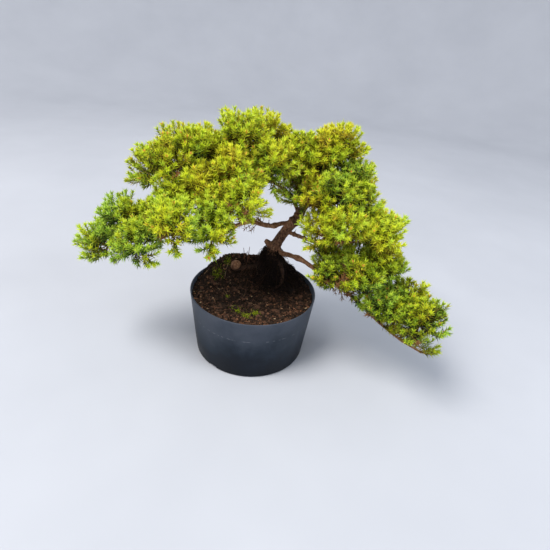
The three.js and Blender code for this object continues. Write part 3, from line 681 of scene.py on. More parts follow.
class Parts:
    """Points, triangles, materials and values of one piece, gathered before its mesh is made."""

    def __init__(self):
        self.points = []
        self.triangles = []
        self.kinds = []
        self.ages = []
        self.cools = []
        self.count = 0

    def add(self, points, triangles, kind=0, age=0.0, cool=0.0):
        points = np.asarray(points, float).reshape(-1, 3)
        triangles = np.asarray(triangles, int).reshape(-1, 3)
        self.points.append(points)
        self.triangles.append(triangles + self.count)
        self.kinds.append(np.broadcast_to(kind, len(triangles)))
        self.ages.append(np.broadcast_to(age, len(points)))
        self.cools.append(np.broadcast_to(cool, len(points)))
        self.count += len(points)

    def make(self, name, materials, slot, nodes=(), smooth=False):
        points = np.concatenate(self.points) * MM
        triangles = np.concatenate(self.triangles)
        mesh = bpy.data.meshes.new(name)
        for material in materials:
            mesh.materials.append(material)
        mesh.vertices.add(len(points))
        mesh.vertices.foreach_set("co", points.astype(np.float32).ravel())
        mesh.loops.add(triangles.size)
        mesh.loops.foreach_set("vertex_index", triangles.astype(np.int32).ravel())
        mesh.polygons.add(len(triangles))
        mesh.polygons.foreach_set("loop_start", np.arange(0, triangles.size, 3, dtype=np.int32))
        mesh.polygons.foreach_set("loop_total", np.full(len(triangles), 3, np.int32))
        mesh.polygons.foreach_set("material_index", np.concatenate(self.kinds).astype(np.int32))
        mesh.polygons.foreach_set("use_smooth", np.full(len(triangles), smooth))
        set_values(mesh, age=np.concatenate(self.ages), cool=np.concatenate(self.cools))
        mesh.update(calc_edges=True)
        mesh.validate()
        return piece_of(name, mesh, nodes)


def tube(points, radii, sides, wobble=None):
    """A closed tube through points. wobble gives each corner's share of the radius."""
    points = np.asarray(points, float)
    rings = len(points)
    radii = np.broadcast_to(np.asarray(radii, float), rings)
    tangents = unit(np.gradient(points, axis=0))
    side = np.cross(tangents[0], [0.3, 0.9, 0.2])
    around = np.arange(sides)
    after = (around + 1) % sides
    angles = around * TURN / sides
    corners = np.empty((rings, sides, 3))
    for k, tangent in enumerate(tangents):
        side = unit(side - tangent * (side @ tangent))
        other = np.cross(tangent, side)
        ring = np.outer(np.cos(angles), side) + np.outer(np.sin(angles), other)
        share = 1 if wobble is None else wobble[k][:, None]
        corners[k] = points[k] + ring * radii[k] * share
    starts = np.arange(rings - 1)[:, None] * sides
    low = (starts + around).ravel()
    beside = (starts + after).ravel()
    walls = [np.stack([low, beside, beside + sides], 1), np.stack([low, beside + sides, low + sides], 1)]
    first = rings * sides
    end = first - sides
    bottom = np.stack([np.full(sides, first), after, around], 1)
    top = np.stack([np.full(sides, first + 1), end + around, end + after], 1)
    everything = np.concatenate([corners.reshape(-1, 3), points[:1], points[-1:]])
    return everything, np.concatenate([*walls, bottom, top])


def add_needles(parts, foot, way, side, length, width, kind, upper_kind, age, cool):
    """Awl-shaped needles: a flat upper side, a keel below, and a sharp tip."""
    side = unit(side - way * np.sum(side * way, axis=1, keepdims=True))
    upper = np.cross(side, way)
    length = length[:, None]
    half = side * (0.5 * width[:, None])
    keel = foot - upper * (NEEDLE["depth"] / NEEDLE["width"] * width[:, None]) + way * 0.3
    tip = foot + way * length + upper * (0.07 * length)
    points = np.stack([foot - half, foot + half, keel, tip], 1)
    count = len(foot)
    faces = NEEDLE_FACES[None] + 4 * np.arange(count)[:, None, None]
    kinds = np.tile([upper_kind] + [kind] * 2, count)
    ages = (age[:, None] + NEEDLE_AGES).ravel()
    parts.add(points, faces, kinds, ages, np.repeat(np.broadcast_to(cool, count), 4))


def frames_along(points, distances):
    """Places and directions at distances along a line of points."""
    steps = np.linalg.norm(np.diff(points, axis=0), axis=1)
    along = np.concatenate([[0], np.cumsum(steps)])
    behind, places, ahead = (
        np.stack([np.interp(distances + shift, along, points[:, k]) for k in range(3)], 1)
        for shift in (-0.5, 0, 0.5)
    )
    return places, unit(ahead - behind)


WOODY, LEAF, BAND, DEAD, BUD = range(5)


def tone_at(places, look):
    """How light the green is: painted shade darkens the heart of a bunch, painted light brightens its upper
    side, and it grows brighter outward, partly as paler young tips.
    """
    away = (places - look["centre"]) / BUNCH_REACH
    outward = OUTWARD_TONE * np.linalg.norm(away, axis=-1)
    return look["tone"] + HEART_TONE + outward + UPPER_PAINTED_LIGHT * away[..., 2]


def add_tuft(parts, rng, tip, tip_way, look, size, tone, cool, budding):
    """The close tip of a shoot: young needles around a small heart, which is orange where a bud swells."""
    side, other = across(tip_way)
    turn = rng.uniform(0, TURN)
    for (count, lean, long), kind in zip(TUFT_RINGS, (LEAF, BUD if budding else LEAF)):
        turns = turn + np.arange(count) * (TURN / count)
        out = np.cos(turns)[:, None] * side + np.sin(turns)[:, None] * other
        leans = (lean * rng.uniform(0.75, 1.25, count))[:, None]
        way = tip_way * np.cos(leans) + out * np.sin(leans)
        foot = tip - tip_way * 1.3 + out * 0.3
        lengths = long * size * rng.uniform(0.85, 1.15, count)
        widths = np.full(count, NEEDLE["width"] * (1.6 if kind == BUD else 1.1) * size)
        tones = tone + rng.uniform(-0.12, 0.12, count)
        add_needles(parts, foot, way, np.cross(tip_way, out), lengths, widths, kind, kind, tones, cool)


def add_shoot(parts, rng, points, leafy_from, look, radius=0.5, size=1.0, dead=False):
    """One shoot: its stem, whorls of three needles along it and a close tuft at its tip."""
    length = length_of(points)
    own = rng.uniform(-0.1, 0.1)
    low = -unit(points[-1] - points[0])[2]
    patch = noise.noise(Vector(points[-1] * 0.03))
    stray = COOL_SPREAD * rng.normal() + COOL_PATCHES * patch + 0.25 * low
    cool = look["cool"] + stray
    corners, faces = tube(points, np.linspace(radius, 0.3, len(points)), 3)
    parts.add(corners, faces, DEAD if dead else WOODY, tone_at(corners, look), cool)
    count = max(2, round(2 * (length - leafy_from) / sum(WHORL_PITCH) * (0.6 if dead else 1)))
    steps = np.linspace(*WHORL_PITCH, count)
    distances = leafy_from + (length - 0.4 - leafy_from) * np.cumsum(steps) / np.sum(steps)
    places, ways = frames_along(points, distances)
    side, other = across(ways)
    share = distances / length
    angle = rng.uniform(0, TURN) + np.arange(count)[:, None] * (TURN / 6) + np.arange(3) * (TURN / 3)
    angle = angle + rng.uniform(-0.3, 0.3, (count, 3))
    out = np.cos(angle)[..., None] * side[:, None] + np.sin(angle)[..., None] * other[:, None]
    lean = (LEAN_FOOT + (LEAN_TIP - LEAN_FOOT) * share**1.6)[:, None] + rng.uniform(-0.3, 0.3, (count, 3))
    way = ways[:, None] * np.cos(lean)[..., None] + out * np.sin(lean)[..., None]
    flank = np.cross(ways[:, None], out)
    long = NEEDLE["length"] * size * rng.uniform(0.82, 1.12, (count, 3)) * (1 - 0.27 * share[:, None] ** 2)
    wide = NEEDLE["width"] * size * rng.uniform(0.85, 1.15, (count, 3))
    tone = tone_at(places, look)[:, None] + own + TIP_TONE * (share[:, None] - 0.6)
    tone = tone + rng.uniform(-NEEDLE_TONES, NEEDLE_TONES, (count, 3))
    golden = GOLDEN_FOOT * (1 - min(1, look["cool"])) * (0.85 - share[:, None])
    cools = look["cool"] + stray * (1.3 - share[:, None]) - golden + rng.uniform(-0.4, 0.4, (count, 3))
    foot = places[:, None] + out * (0.5 * radius)
    kinds = (DEAD, DEAD) if dead else (LEAF, BAND)
    rows = (numbers.reshape(-1, 3) for numbers in (foot, way, flank))
    add_needles(parts, *rows, long.ravel(), wide.ravel(), *kinds, tone.ravel(), cools.ravel())
    if dead:
        return
    tip_tone = float(tone_at(points[-1], look)) + own + 0.1
    budding = tip_tone > 0.7 and rng.random() < BUD_SHARE * (1.1 - look["cool"])
    add_tuft(parts, rng, points[-1], unit(points[-1] - points[-2]), look, size, tip_tone, 0.6 * cool, budding)


def bent(start, way, length, towards, bend, steps=4):
    """A short shoot's line: straight out, then bending towards another way."""
    middle = start + way * (0.5 * length)
    end = start + unit(way + bend * towards) * length
    return bezier(start, middle, end).points(steps)


def is_dead(place):
    return any(np.linalg.norm(place - spot[:3]) < spot[3] for spot in DEAD_SPOTS)


def dress_bunch(bunch, order, materials):
    """The finer piece for one bunch: the same stalk, core and shoots, with the side shoots between."""
    rng = np.random.default_rng(500 + order)
    parts = Parts()
    centre = bunch["centre"]
    look = {"centre": centre, "cool": bunch["cool"], "tone": bunch["tone"]}
    stalk = bunch["stalk"]["curve"].points(6)
    line = np.vstack([centre, stalk, bunch["foot"] - bunch["outward"] * 1.4])
    parts.add(*tube(line, np.linspace(0.9, 1.25, len(line)), 6), WOODY, 0.1, look["cool"])
    for shoot in bunch["shoots"]:
        samples = shoot["curve"].points(6)
        main = np.vstack([centre + 0.25 * (samples[0] - centre), samples])
        add_shoot(parts, rng, main, 3, look, radius=0.75, size=1.05)
        add_side_shoots(parts, rng, main, look, SIDE_COUNT)
    shaded = dict(look, tone=look["tone"] - 0.25)
    add_side_shoots(parts, rng, stalk[::-1], shaded, 3)
    used = [id(bed) for bed in bunch["beds"]]
    back = unit(bunch["foot"] - centre)
    for face in bunch["faces"]:
        if id(face) in used or face["way"] @ back > 0.85:
            continue
        way = unit(face["way"] + 0.3 * bunch["axis"] + 0.18 * UP)
        low = face["way"][2] < -0.35
        length = CORE_SHOOT_LENGTH * rng.uniform(0.8, 1.15) * (0.8 if low else 1)
        line = bent(centre + way * 2, way, length, UP, 0.55)
        dead = is_dead(line[2]) or (low and rng.random() < 2 * DEAD_SHARE)
        add_shoot(parts, rng, line, 3, look, dead=dead)
        add_side_shoots(parts, rng, line, look, 2 if low else SIDE_COUNT - 2)
    return parts.make(bunch["name"] + "_foliage", materials, "foliage", [bunch["name"]])


def add_side_shoots(parts, rng, main, look, count):
    """Shoots that leave the lower part of a longer one and rise beside it, like the fingers of a hand."""
    whole = length_of(main)
    shares = SIDE_FROM + (SIDE_TO - SIDE_FROM) * (np.arange(count) + rng.uniform(0.2, 0.8, count)) / count
    turn = rng.uniform(0, TURN)
    for k, (place, way) in enumerate(zip(*frames_along(main, shares * whole))):
        side, other = across(way)
        angle = turn + k * GOLDEN_ANGLE
        out = side * math.cos(angle) + other * math.sin(angle)
        aim = way * math.cos(SIDE_ANGLE) + out * math.sin(SIDE_ANGLE)
        length = SIDE_REACH * (1.2 - shares[k]) * whole**0.5 * rng.uniform(0.85, 1.15)
        under = aim[2] < -0.3
        line = bent(place, aim, length, unit(0.7 * way + UP), 0.85)
        dead = is_dead(line[2]) or (under and rng.random() < DEAD_SHARE)
        add_shoot(parts, rng, line, 2, look, radius=0.45, size=0.95, dead=dead)


def add_sprig(parts, rng, bunches, name, share, longest, lift, dead=False):
    """A short shoot that grows straight from a branch."""
    curve = CURVES[name]
    place, tangent = curve.at(share), curve.tangent(share)
    out = rng.normal(size=3)
    out[2] = lift + (abs(out[2]) if lift > 0 else out[2])
    out = unit(out - tangent * (out @ tangent))
    way = unit(out + tangent * (1.6 if share == 1 else 0.7))
    line = bent(place + out * 0.6, way, rng.uniform(0.6, 1) * longest, UP, 0.4 * (lift > 0))
    near = min(bunches, key=lambda bunch: np.linalg.norm(bunch["centre"] - place))
    look = {"centre": place - way * 5, "cool": near["cool"], "tone": 0.2}
    add_shoot(parts, rng, line, 2, look, radius=0.45, size=0.95, dead=dead or is_dead(line[2]))


def make_sprigs(bunches, materials):
    """Short shoots between the bunches, and old dead ones where the branches leave the trunk."""
    rng = np.random.default_rng(15)
    parts = Parts()
    for name, (start, apart, longest) in SPRIGS.items():
        for share in [*np.arange(start, 1, apart / CURVES[name].length()), 1, 1, 1, 1]:
            add_sprig(parts, rng, bunches, name, share, longest, 0.3)
    for name, (start, end, count, longest) in OLD_SPRIGS.items():
        for share in np.linspace(start, end, count):
            add_sprig(parts, rng, bunches, name, share, longest, -0.3, dead=True)
    return parts.make("branch_sprigs", materials, "foliage")


# Materials
class Paint:
    """A material, with short calls for the nodes that colour it."""

    def __init__(self, name, roughness, specular):
        self.material = bpy.data.materials.new(name)
        self.material.use_nodes = True
        self.nodes = self.material.node_tree.nodes
        self.links = self.material.node_tree.links
        self.shader = self.nodes["Principled BSDF"]
        self.shader.inputs["Roughness"].default_value = roughness
        self.shader.inputs["Specular IOR Level"].default_value = specular

    def feed(self, socket, value):
        """Links or sets a socket. A colour comes as three numbers."""
        if isinstance(value, bpy.types.NodeSocket):
            self.links.new(value, socket)
        else:
            socket.default_value = (*value, 1) if isinstance(value, tuple) else value

    def node(self, kind, inputs, **settings):
        """The outputs of a new node."""
        node = self.nodes.new("ShaderNode" + kind)
        for name, value in settings.items():
            setattr(node, name, value)
        for key, value in inputs.items():
            self.feed(node.inputs[key], value)
        return node.outputs

    def place(self):
        return self.node("TexCoord", {})["Object"]

    def along(self, axis):
        """The place along one axis, in metres."""
        return self.node("SeparateXYZ", {"Vector": self.place()})[axis]

    def value(self, name):
        """One of the values that a mesh holds at its points."""
        return self.node("Attribute", {}, attribute_name=name)["Fac"]

    def noise(self, grains, detail, roughness=0.6, stretch=(1, 1, 1)):
        """Noise with so many grains in a millimetre."""
        scale = [grains * share / MM for share in stretch]
        place = self.node("Mapping", {"Vector": self.place(), "Scale": scale})["Vector"]
        inputs = {"Vector": place, "Scale": 1, "Detail": detail, "Roughness": roughness}
        return self.node("TexNoise", inputs)["Fac"]

    def maths(self, operation, first, second=0):
        return self.node("Math", {0: first, 1: second}, operation=operation)[0]

    def swung(self, tone, grain, reach):
        """A tone that noise moves up and down."""
        swing = self.maths("MULTIPLY", self.maths("SUBTRACT", grain, 0.5), reach)
        return self.maths("ADD", tone, swing)

    def ramp(self, source, stops):
        """Colours, or greys given as one number, at their places from 0 to 1."""
        ramp = self.nodes.new("ShaderNodeValToRGB")
        elements = ramp.color_ramp.elements
        while len(elements) < len(stops):
            elements.new(0.5)
        for element, (place, colour) in zip(elements, stops):
            element.position = place
            element.color = (*colour, 1) if isinstance(colour, tuple) else (colour, colour, colour, 1)
        self.links.new(source, ramp.inputs["Fac"])
        return ramp.outputs["Color"]

    def mix(self, share, first, second):
        sockets = dict(zip(COLOUR_MIX_INPUTS, (share, first, second)))
        return self.node("Mix", sockets, data_type="RGBA")[COLOUR_MIX_OUTPUT]

    def done(self, colour, height=None, strength=0, depth=0):
        """Gives the shader its colour and a bump of a depth in millimetres."""
        self.feed(self.shader.inputs["Base Color"], colour)
        if height is not None:
            bump = self.node("Bump", {"Height": height, "Strength": strength, "Distance": depth * MM})
            self.feed(self.shader.inputs["Normal"], bump["Normal"])
        return self.material


def leaf_material(name, band):
    """Needles, golden where cool is below nothing and blue where it is above. band is how pale they are."""
    paint = Paint(name, 0.55, 0.2)
    tone = paint.swung(paint.value("age"), paint.noise(0.06, 3), 0.4)
    cool = paint.value("cool")
    green, blue, gold = (paint.ramp(tone, stops) for stops in (LEAF_STOPS, COOL_STOPS, GOLD_STOPS))
    colour = paint.mix(cool, green, blue)
    colour = paint.mix(paint.maths("MULTIPLY", cool, -1), colour, gold)
    if band:
        colour = paint.mix(band, colour, BAND_COLOUR)
    return paint.done(colour)


def twig_material():
    paint = Paint("juniper_twigs", 0.7, 0.3)
    tone = paint.swung(paint.value("age"), paint.noise(0.5, 4), 0.5)
    return paint.done(paint.ramp(tone, TWIG_STOPS))


def plain_plant_material(name, dark, light, roughness=0.7):
    paint = Paint(name, roughness, 0.3)
    return paint.done(paint.ramp(paint.noise(0.25, 4), [(0.3, dark), (0.7, light)]))


def bark_material():
    """Grey old bark that turns red where age is high, and dark where cool is low: painted shade in its
    cracks, on the roots and on the knob's lower half.
    """
    paint = Paint("juniper_bark", 0.82, 0.25)
    flakes = paint.noise(0.55, 8, 0.7, (1, 1, 0.35))
    youth = paint.maths("MULTIPLY", paint.value("age"), 0.8)
    share = paint.maths("ADD", paint.noise(0.07, 3), youth)
    grey = paint.ramp(flakes, GREY_BARK_STOPS)
    red = paint.ramp(flakes, RED_BARK_STOPS)
    colour = paint.mix(paint.ramp(share, [(0.52, 0), (0.72, 1)]), grey, red)
    # Painted shade: darker in the cracks, on the roots and on the knob's lower half
    depth = paint.maths("MULTIPLY", paint.value("cool"), -1)
    colour = paint.mix(paint.ramp(depth, [(0.05, 0), (0.5, 0.75)]), colour, PAINTED_BARK_SHADE)
    return paint.done(colour, flakes, 0.6, 0.5)


def darker_bank(paint, colour):
    """The colour turned nearly black where the trunk shades the steep bank at its foot."""
    squares = []
    for axis, (middle, reach) in BANK_SHADE.items():
        off = paint.maths("SUBTRACT", paint.along(axis), middle * MM)
        off = paint.maths("DIVIDE", off, reach * MM)
        squares.append(paint.maths("MULTIPLY", off, off))
    share = paint.ramp(paint.maths("ADD", *squares), [(0.3, 0.8), (1.0, 0)])
    return paint.mix(share, colour, SHADE_COLOUR)


def soil_material():
    paint = Paint("peat_soil", 0.95, 0.15)
    grain = paint.noise(0.7, 8, 0.75)
    return paint.done(darker_bank(paint, paint.ramp(grain, PEAT_STOPS)), grain, 1, 1.2)


def crumb_material():
    """Peat crumbs, chips and fibres: age runs from black peat over red bark to pale straw."""
    paint = Paint("peat_crumbs", 0.9, 0.2)
    tone = paint.swung(paint.value("age"), paint.noise(1.2, 4), 0.25)
    return paint.done(darker_bank(paint, paint.ramp(tone, CRUMB_STOPS)))


def pot_material():
    """Thin black plastic, darker towards its foot with painted shade and a painted dark reflection, hazed
    with dust towards its rim, with pale specks and a faint scratched line.
    """
    paint = Paint("black_plastic", 0.45, 0.16)
    cloud = paint.noise(0.03, 4)
    dust = paint.noise(0.9, 10, 0.7)
    height = paint.maths("MULTIPLY", paint.along("Z"), 1 / (POT_HEIGHT * MM))
    # Painted shade and a painted dark reflection low on the pot, dust haze towards its rim
    colour = paint.ramp(paint.swung(height, cloud, 0.9), HAZE_AND_PAINTED_SHADE_STOPS)
    specks = paint.ramp(dust, [(0.64, 0), (0.76, 0.4)])
    colour = paint.mix(specks, colour, SPECK_COLOUR)
    broken = paint.ramp(paint.noise(0.25, 2), [(0.5, 0), (0.62, 1)])
    off = paint.maths("ABSOLUTE", paint.maths("SUBTRACT", height, SCRATCH_HEIGHT / POT_HEIGHT))
    near = paint.ramp(off, [(0.003, 0.35), (0.009, 0)])
    colour = paint.mix(paint.maths("MULTIPLY", broken, near), colour, SCRATCH_COLOUR)
    paint.feed(paint.shader.inputs["Roughness"], paint.ramp(cloud, [(0.3, 0.38), (0.75, 0.55)]))
    return paint.done(colour, dust, 0.2, 0.1)


# Pot
def pot_radius(height):
    return POT_FOOT_RADIUS + (POT_RIM_RADIUS - POT_FOOT_RADIUS) * height / POT_HEIGHT


def arc(centre, radius, start, end, steps):
    places = [polar(radius, angle) for angle in np.radians(np.linspace(start, end, steps))]
    return [(centre[0] + x, centre[1] + y) for x, y in places]


def pot_outline():
    """From the middle of the underside round the foot and the rim to the middle of the floor."""
    half = POT_WALL / 2
    inner = pot_radius(POT_FLOOR) - POT_WALL - POT_CORNER
    rim = arc((POT_RIM_RADIUS - half, POT_HEIGHT - half), half, 0, 180, 7)
    foot = arc((POT_FOOT_RADIUS - POT_FOOT_ROUND, POT_FOOT_ROUND), POT_FOOT_ROUND, -90, 0, 6)
    corner = arc((inner, POT_FLOOR + POT_CORNER), POT_CORNER, 0, -90, 5)
    outer_wall = [(pot_radius(h), h) for h in POT_RING_HEIGHTS]
    inner_wall = [(radius - POT_WALL, h) for radius, h in reversed(outer_wall)]
    return [(0, 0)] + foot + outer_wall + rim + inner_wall + corner + [(0, POT_FLOOR)]


def make_pot(material):
    """A thin turned shell with a rounded rim and foot, and notches in its foot."""
    points, faces = turned(pot_outline(), POT_SIDES)
    shell = put("pot_shell_uncut", mesh_of("pot_shell", points * MM, faces))
    for i in range(NOTCH_COUNT):
        cut_notch(shell, FIRST_NOTCH_ANGLE + i * TURN / NOTCH_COUNT)
    mesh = applied(shell)
    bpy.data.objects.remove(shell)
    mesh.shade_smooth()
    mesh.set_sharp_from_angle(angle=SHARP_ANGLE)
    mesh.materials.clear()
    mesh.materials.append(material)
    return piece_of("pot_bowl", mesh, ["pot"])


def cut_notch(shell, angle):
    box = bmesh.new()
    bmesh.ops.create_cube(box, size=1)
    size = Matrix.Diagonal((NOTCH_DEPTH * MM, NOTCH_WIDTH * MM, 2 * NOTCH_HEIGHT * MM, 1))
    place = Matrix.Rotation(angle, 4, "Z") @ Matrix.Translation((POT_FOOT_RADIUS * MM, 0, 0))
    box.transform(place @ size)
    mesh = bpy.data.meshes.new("notch_cutter")
    box.to_mesh(mesh)
    box.free()
    cutter = put("notch_cutter", mesh)
    cut = shell.modifiers.new("notch", "BOOLEAN")
    cut.object = cutter
    cut.operation = "DIFFERENCE"
    cut.solver = "EXACT"
    shell.data = applied(shell)
    shell.modifiers.clear()
    bpy.data.objects.remove(cutter)


# Wood
def bark_wobble(rings, sides, radius, seed):
    """Ridges that run along the branch and swell and fade, as shares of its radius."""
    rows = np.empty((rings, sides))
    for k in range(rings):
        for j in range(sides):
            angle = j * TURN / sides
            coarse = noise.noise(Vector((*polar(2.2, angle), k * 0.16 + seed)))
            fine = noise.noise(Vector((*polar(5, angle), k * 0.5 + seed)))
            rows[k, j] = coarse + 0.5 * fine
    return 1 + min(BARK_RELIEF, 0.14 * radius) / radius * rows


def knots(count, shares, seed):
    """Swellings where shoots have grown, as shares of the radius along a branch."""
    draw = draws_from(seed)
    places = [draw() for _ in range(count)]
    heights = [0.08 + 0.22 * draw() for _ in range(count)]
    return 1 + sum(h * np.exp(-(((shares - p) / KNOT_REACH) ** 2)) for p, h in zip(places, heights))


def add_limb(parts, points, radii, seed, sides, young):
    """A branch or root. Gives its line, its radii, and rows of place, youth, radius and direction."""
    curve = through(points)
    length = curve.length()
    count = max(4, int(length / RING_STEP)) + 1
    shares = np.linspace(0, 1, count)
    line = curve.points(count)
    sizes = radius_along(radii, shares) * knots(int(length / KNOT_STEP) + 1, shares, seed)
    wobble = bark_wobble(count, sides, float(np.mean(radii)), seed * 7.3)
    parts.add(*tube(line, sizes, sides, wobble))
    rows = np.column_stack([line, np.linspace(*young, count), sizes, unit(np.gradient(line, axis=0))])
    return line, sizes, rows


def root_line(places, radii):
    points = []
    for i, (x, y) in enumerate(places):
        radius = radius_along(radii, i / (len(places) - 1))
        points.append([x, y, float(soil_height(x, y)) + ROOT_RISE * radius - ROOT_SINK])
    return points


def bark_relief(corners, radius, ways):
    """How far the bark stands out: long plates with cracks between them, and finer flakes on the plates."""
    along = np.sum(corners * ways, axis=1, keepdims=True) * ways
    plates = corners * 0.42 - along * 0.32
    flakes = corners * 1.1 - along * 0.6
    relief = np.empty(len(corners))
    for k in range(len(corners)):
        crack = math.exp(-((noise.noise(Vector(plates[k])) / 0.13) ** 2))
        relief[k] = 0.45 * noise.noise(Vector(flakes[k])) - crack
    return relief * np.minimum(0.55, 0.09 * radius)


def add_snags(parts, line, sizes, seed):
    """Short broken twigs along a branch."""
    rng = np.random.default_rng(70 + seed)
    for k in range(6, len(line) - 6, 9):
        if rng.random() < 0.5:
            continue
        tangent = unit(line[k + 1] - line[k - 1])
        side = unit(np.cross(tangent, rng.normal(size=3)))
        way = unit(side + 0.5 * tangent * rng.uniform(-0.2, 1))
        length = rng.uniform(1.5, 4.5)
        radius = min(0.4 * sizes[k], rng.uniform(0.4, 0.75))
        start = line[k] + side * (0.4 * sizes[k])
        snag = [start + way * reach for reach in (0, sizes[k] + 0.5 * length, sizes[k] + length)]
        parts.add(*tube(snag, [radius * 1.3, radius, radius * 0.75], 6))


def grown_skin(parts, material):
    """All the wood as one closed and softened skin."""
    rough = parts.make("bark_parts", [material], "wood")
    grown = rough.modifiers.new("grown", "REMESH")
    grown.mode = "VOXEL"
    grown.voxel_size = VOXEL * MM
    soft = rough.modifiers.new("soft", "SMOOTH")
    soft.factor = 0.4
    soft.iterations = 2
    mesh = applied(rough)
    bpy.data.objects.remove(rough)
    mesh.name = "trunk_bark"
    return mesh


def nearest_rows(corners, rows):
    """For each corner the row whose place is nearest."""
    nearest = np.empty(len(corners), int)
    for first in range(0, len(corners), GROUP):
        group = corners[first:first + GROUP]
        apart = np.linalg.norm(group[:, None] - rows[None, :, :3], axis=2)
        nearest[first:first + GROUP] = apart.argmin(1)
    return rows[nearest]


def make_wood(material):
    """Trunk, branches, roots and knob, grown together into one skin with bark on it."""
    parts = Parts()
    rows = []
    for seed, (name, (points, radii)) in enumerate(BRANCHES.items()):
        sides, young = (26, (0, 0.2)) if name in ("trunk", "stub") else (12, (0.35, 1))
        line, sizes, along = add_limb(parts, points, radii, seed + 1, sides, young)
        rows.append(along)
        if name != "stub":
            add_snags(parts, line, sizes, seed)
    for seed, (places, radii) in enumerate(ROOTS):
        points = root_line(places, radii)
        rows.append(add_limb(parts, points, radii, seed + 31, 14, (ROOT_YOUTH, ROOT_YOUTH))[2])
    knob = np.array([KNOB["x"], KNOB["y"], float(soil_height(KNOB["x"], KNOB["y"])) + KNOB["rise"]])
    corners, faces = ball_of(3, KNOB["radius"])
    swell = np.array([1 + 0.09 * noise.noise(Vector(corner) * 0.35) for corner in corners])
    parts.add(knob + corners * swell[:, None], faces)
    rows.append([[*knob, KNOB_YOUTH, KNOB["radius"], *UP]])
    mesh = grown_skin(parts, material)
    corners = read_points(mesh, "co") / MM
    near = nearest_rows(corners, np.concatenate(rows))
    youth = near[:, 3]
    on_knob = youth == KNOB_YOUTH
    relief = bark_relief(corners, near[:, 4], near[:, 5:8]) * np.where(on_knob, KNOB_RELIEF, 1)
    corners = corners + read_points(mesh, "normal") * relief[:, None]
    # Painted shade on the knob: darker at its middle and below, lighter at its top
    knob_shade = KNOB_PAINTED_SHADE[0] - KNOB_PAINTED_SHADE[1] * (corners[:, 2] - knob[2]) / KNOB["radius"]
    mesh.vertices.foreach_set("co", (corners * MM).astype(np.float32).ravel())
    mesh.update()
    # cool carries the painted shade of the bark's cracks, the roots and the knob
    set_values(mesh, age=youth, cool=relief - ROOT_SHADE * (youth == ROOT_YOUTH) - on_knob * knob_shade)
    mesh.shade_smooth()
    return piece_of("trunk_bark", mesh, ["trunk_and_branches"])


# Soil, crumbs, fibres and moss
def soil_rim(height):
    return pot_radius(min(height, POT_HEIGHT)) - POT_WALL - SOIL_GAP


def rough_height(x, y):
    """The soil's height with its lumps."""
    spot = Vector((x * 0.16, y * 0.16, 3.1))
    lumps = noise.noise(spot) + 0.6 * noise.noise(spot * 2.6) + 0.4 * noise.noise(spot * 6.1)
    return float(soil_height(x, y)) + LUMP_HEIGHT * lumps


def make_soil(material):
    """A flat bottom, a side that follows the bowl, and a rough top, from the bottom's middle to the top's."""
    floor = POT_FLOOR + 0.1
    shares = [ring / SOIL_RINGS for ring in range(SOIL_RINGS, -1, -1)]
    top = [(share * soil_rim(SOIL_LEVEL), SOIL_LEVEL) for share in shares]
    points, faces = turned([(0, floor), (soil_rim(floor) - 2, floor)] + top, SOIL_SIDES)
    for point in points[1 + SOIL_SIDES:]:
        point[2] = rough_height(point[0], point[1])
    triangles = []
    for face in faces:
        triangles += [face] if len(face) == 3 else [[face[0], face[1], face[3]], face[1:]]
    parts = Parts()
    parts.add(points, triangles)
    return parts.make("soil_peat", [material], "soil", ["soil"], smooth=True)


def in_wood(x, y):
    return any(math.hypot(x - spot[0], y - spot[1]) < spot[2] for spot in WOOD_SPOTS)


def scattered(rng, count, reach=0.985, front=False):
    """Random places on the soil, clear of the trunk and the knob, or only those near its front edge."""
    places = []
    while len(places) < count:
        radius = soil_rim(SOIL_LEVEL) * reach * math.sqrt(rng.uniform(0.5 if front else 0, 1))
        angle = -math.pi / 2 + rng.normal(0, 0.75) if front else rng.uniform(0, TURN)
        x, y = polar(radius, angle)
        if not in_wood(x, y):
            places.append((x, y, rough_height(x, y)))
    return places


def add_crumbs(parts, rng, count, size, tones, flat=1.0, front=False):
    """Small rough lumps that lie on the soil."""
    corners, faces = ball_of(1, 1)
    for x, y, z in scattered(rng, count, front=front):
        scale = rng.uniform(*size)
        shape = corners * rng.uniform(0.6, 1.25, corners.shape) * scale
        shape[:, 0] *= rng.uniform(1, 1.7)
        shape[:, 2] *= flat
        c, s = polar(1, rng.uniform(0, TURN))
        ct, st = polar(1, rng.uniform(-0.6, 0.6))
        shape = shape @ np.array([[c, s, 0], [-s, c, 0], [0, 0, 1]])
        shape = shape @ np.array([[1, 0, 0], [0, ct, st], [0, -st, ct]])
        parts.add(shape + [x, y, z + 0.35 * scale * flat], faces, 0, rng.uniform(*tones))


def add_fibres(parts, rng, count, length, radius, tones, lift=0.6):
    """Thin bent fibres and straws that lie on the soil."""
    limit = soil_rim(SOIL_LEVEL) - 1
    for x0, y0, _ in scattered(rng, count, 0.93):
        heading = rng.uniform(0, TURN)
        reach = rng.uniform(*length)
        bend = rng.uniform(-0.5, 0.5)
        line = []
        for share in (-3, -1, 1, 3):
            along = share / 6 * reach
            step = polar(along, heading + bend * along / reach)
            x, y = x0 + step[0], y0 + step[1]
            inside = min(1, limit / math.hypot(x, y))
            x, y = x * inside, y * inside
            rise = rng.uniform(0, lift)
            line.append([x, y, rough_height(x, y) + rise])
        parts.add(*tube(line, rng.uniform(*radius), 3), 0, rng.uniform(*tones))


def make_crumbs(material):
    rng = np.random.default_rng(11)
    parts = Parts()
    for count, size, tones, flat, front in CRUMBS:
        add_crumbs(parts, rng, count, size, tones, flat, front)
    return parts.make("peat_crumbs", [material], "soil")


def make_fibres(material):
    rng = np.random.default_rng(12)
    parts = Parts()
    add_fibres(parts, rng, 850, (3, 12), (0.09, 0.2), (0.15, 0.6))
    add_fibres(parts, rng, 26, (5, 14), (0.13, 0.28), (0.75, 1.0), 0.9)
    return parts.make("peat_fibres", [material], "soil")


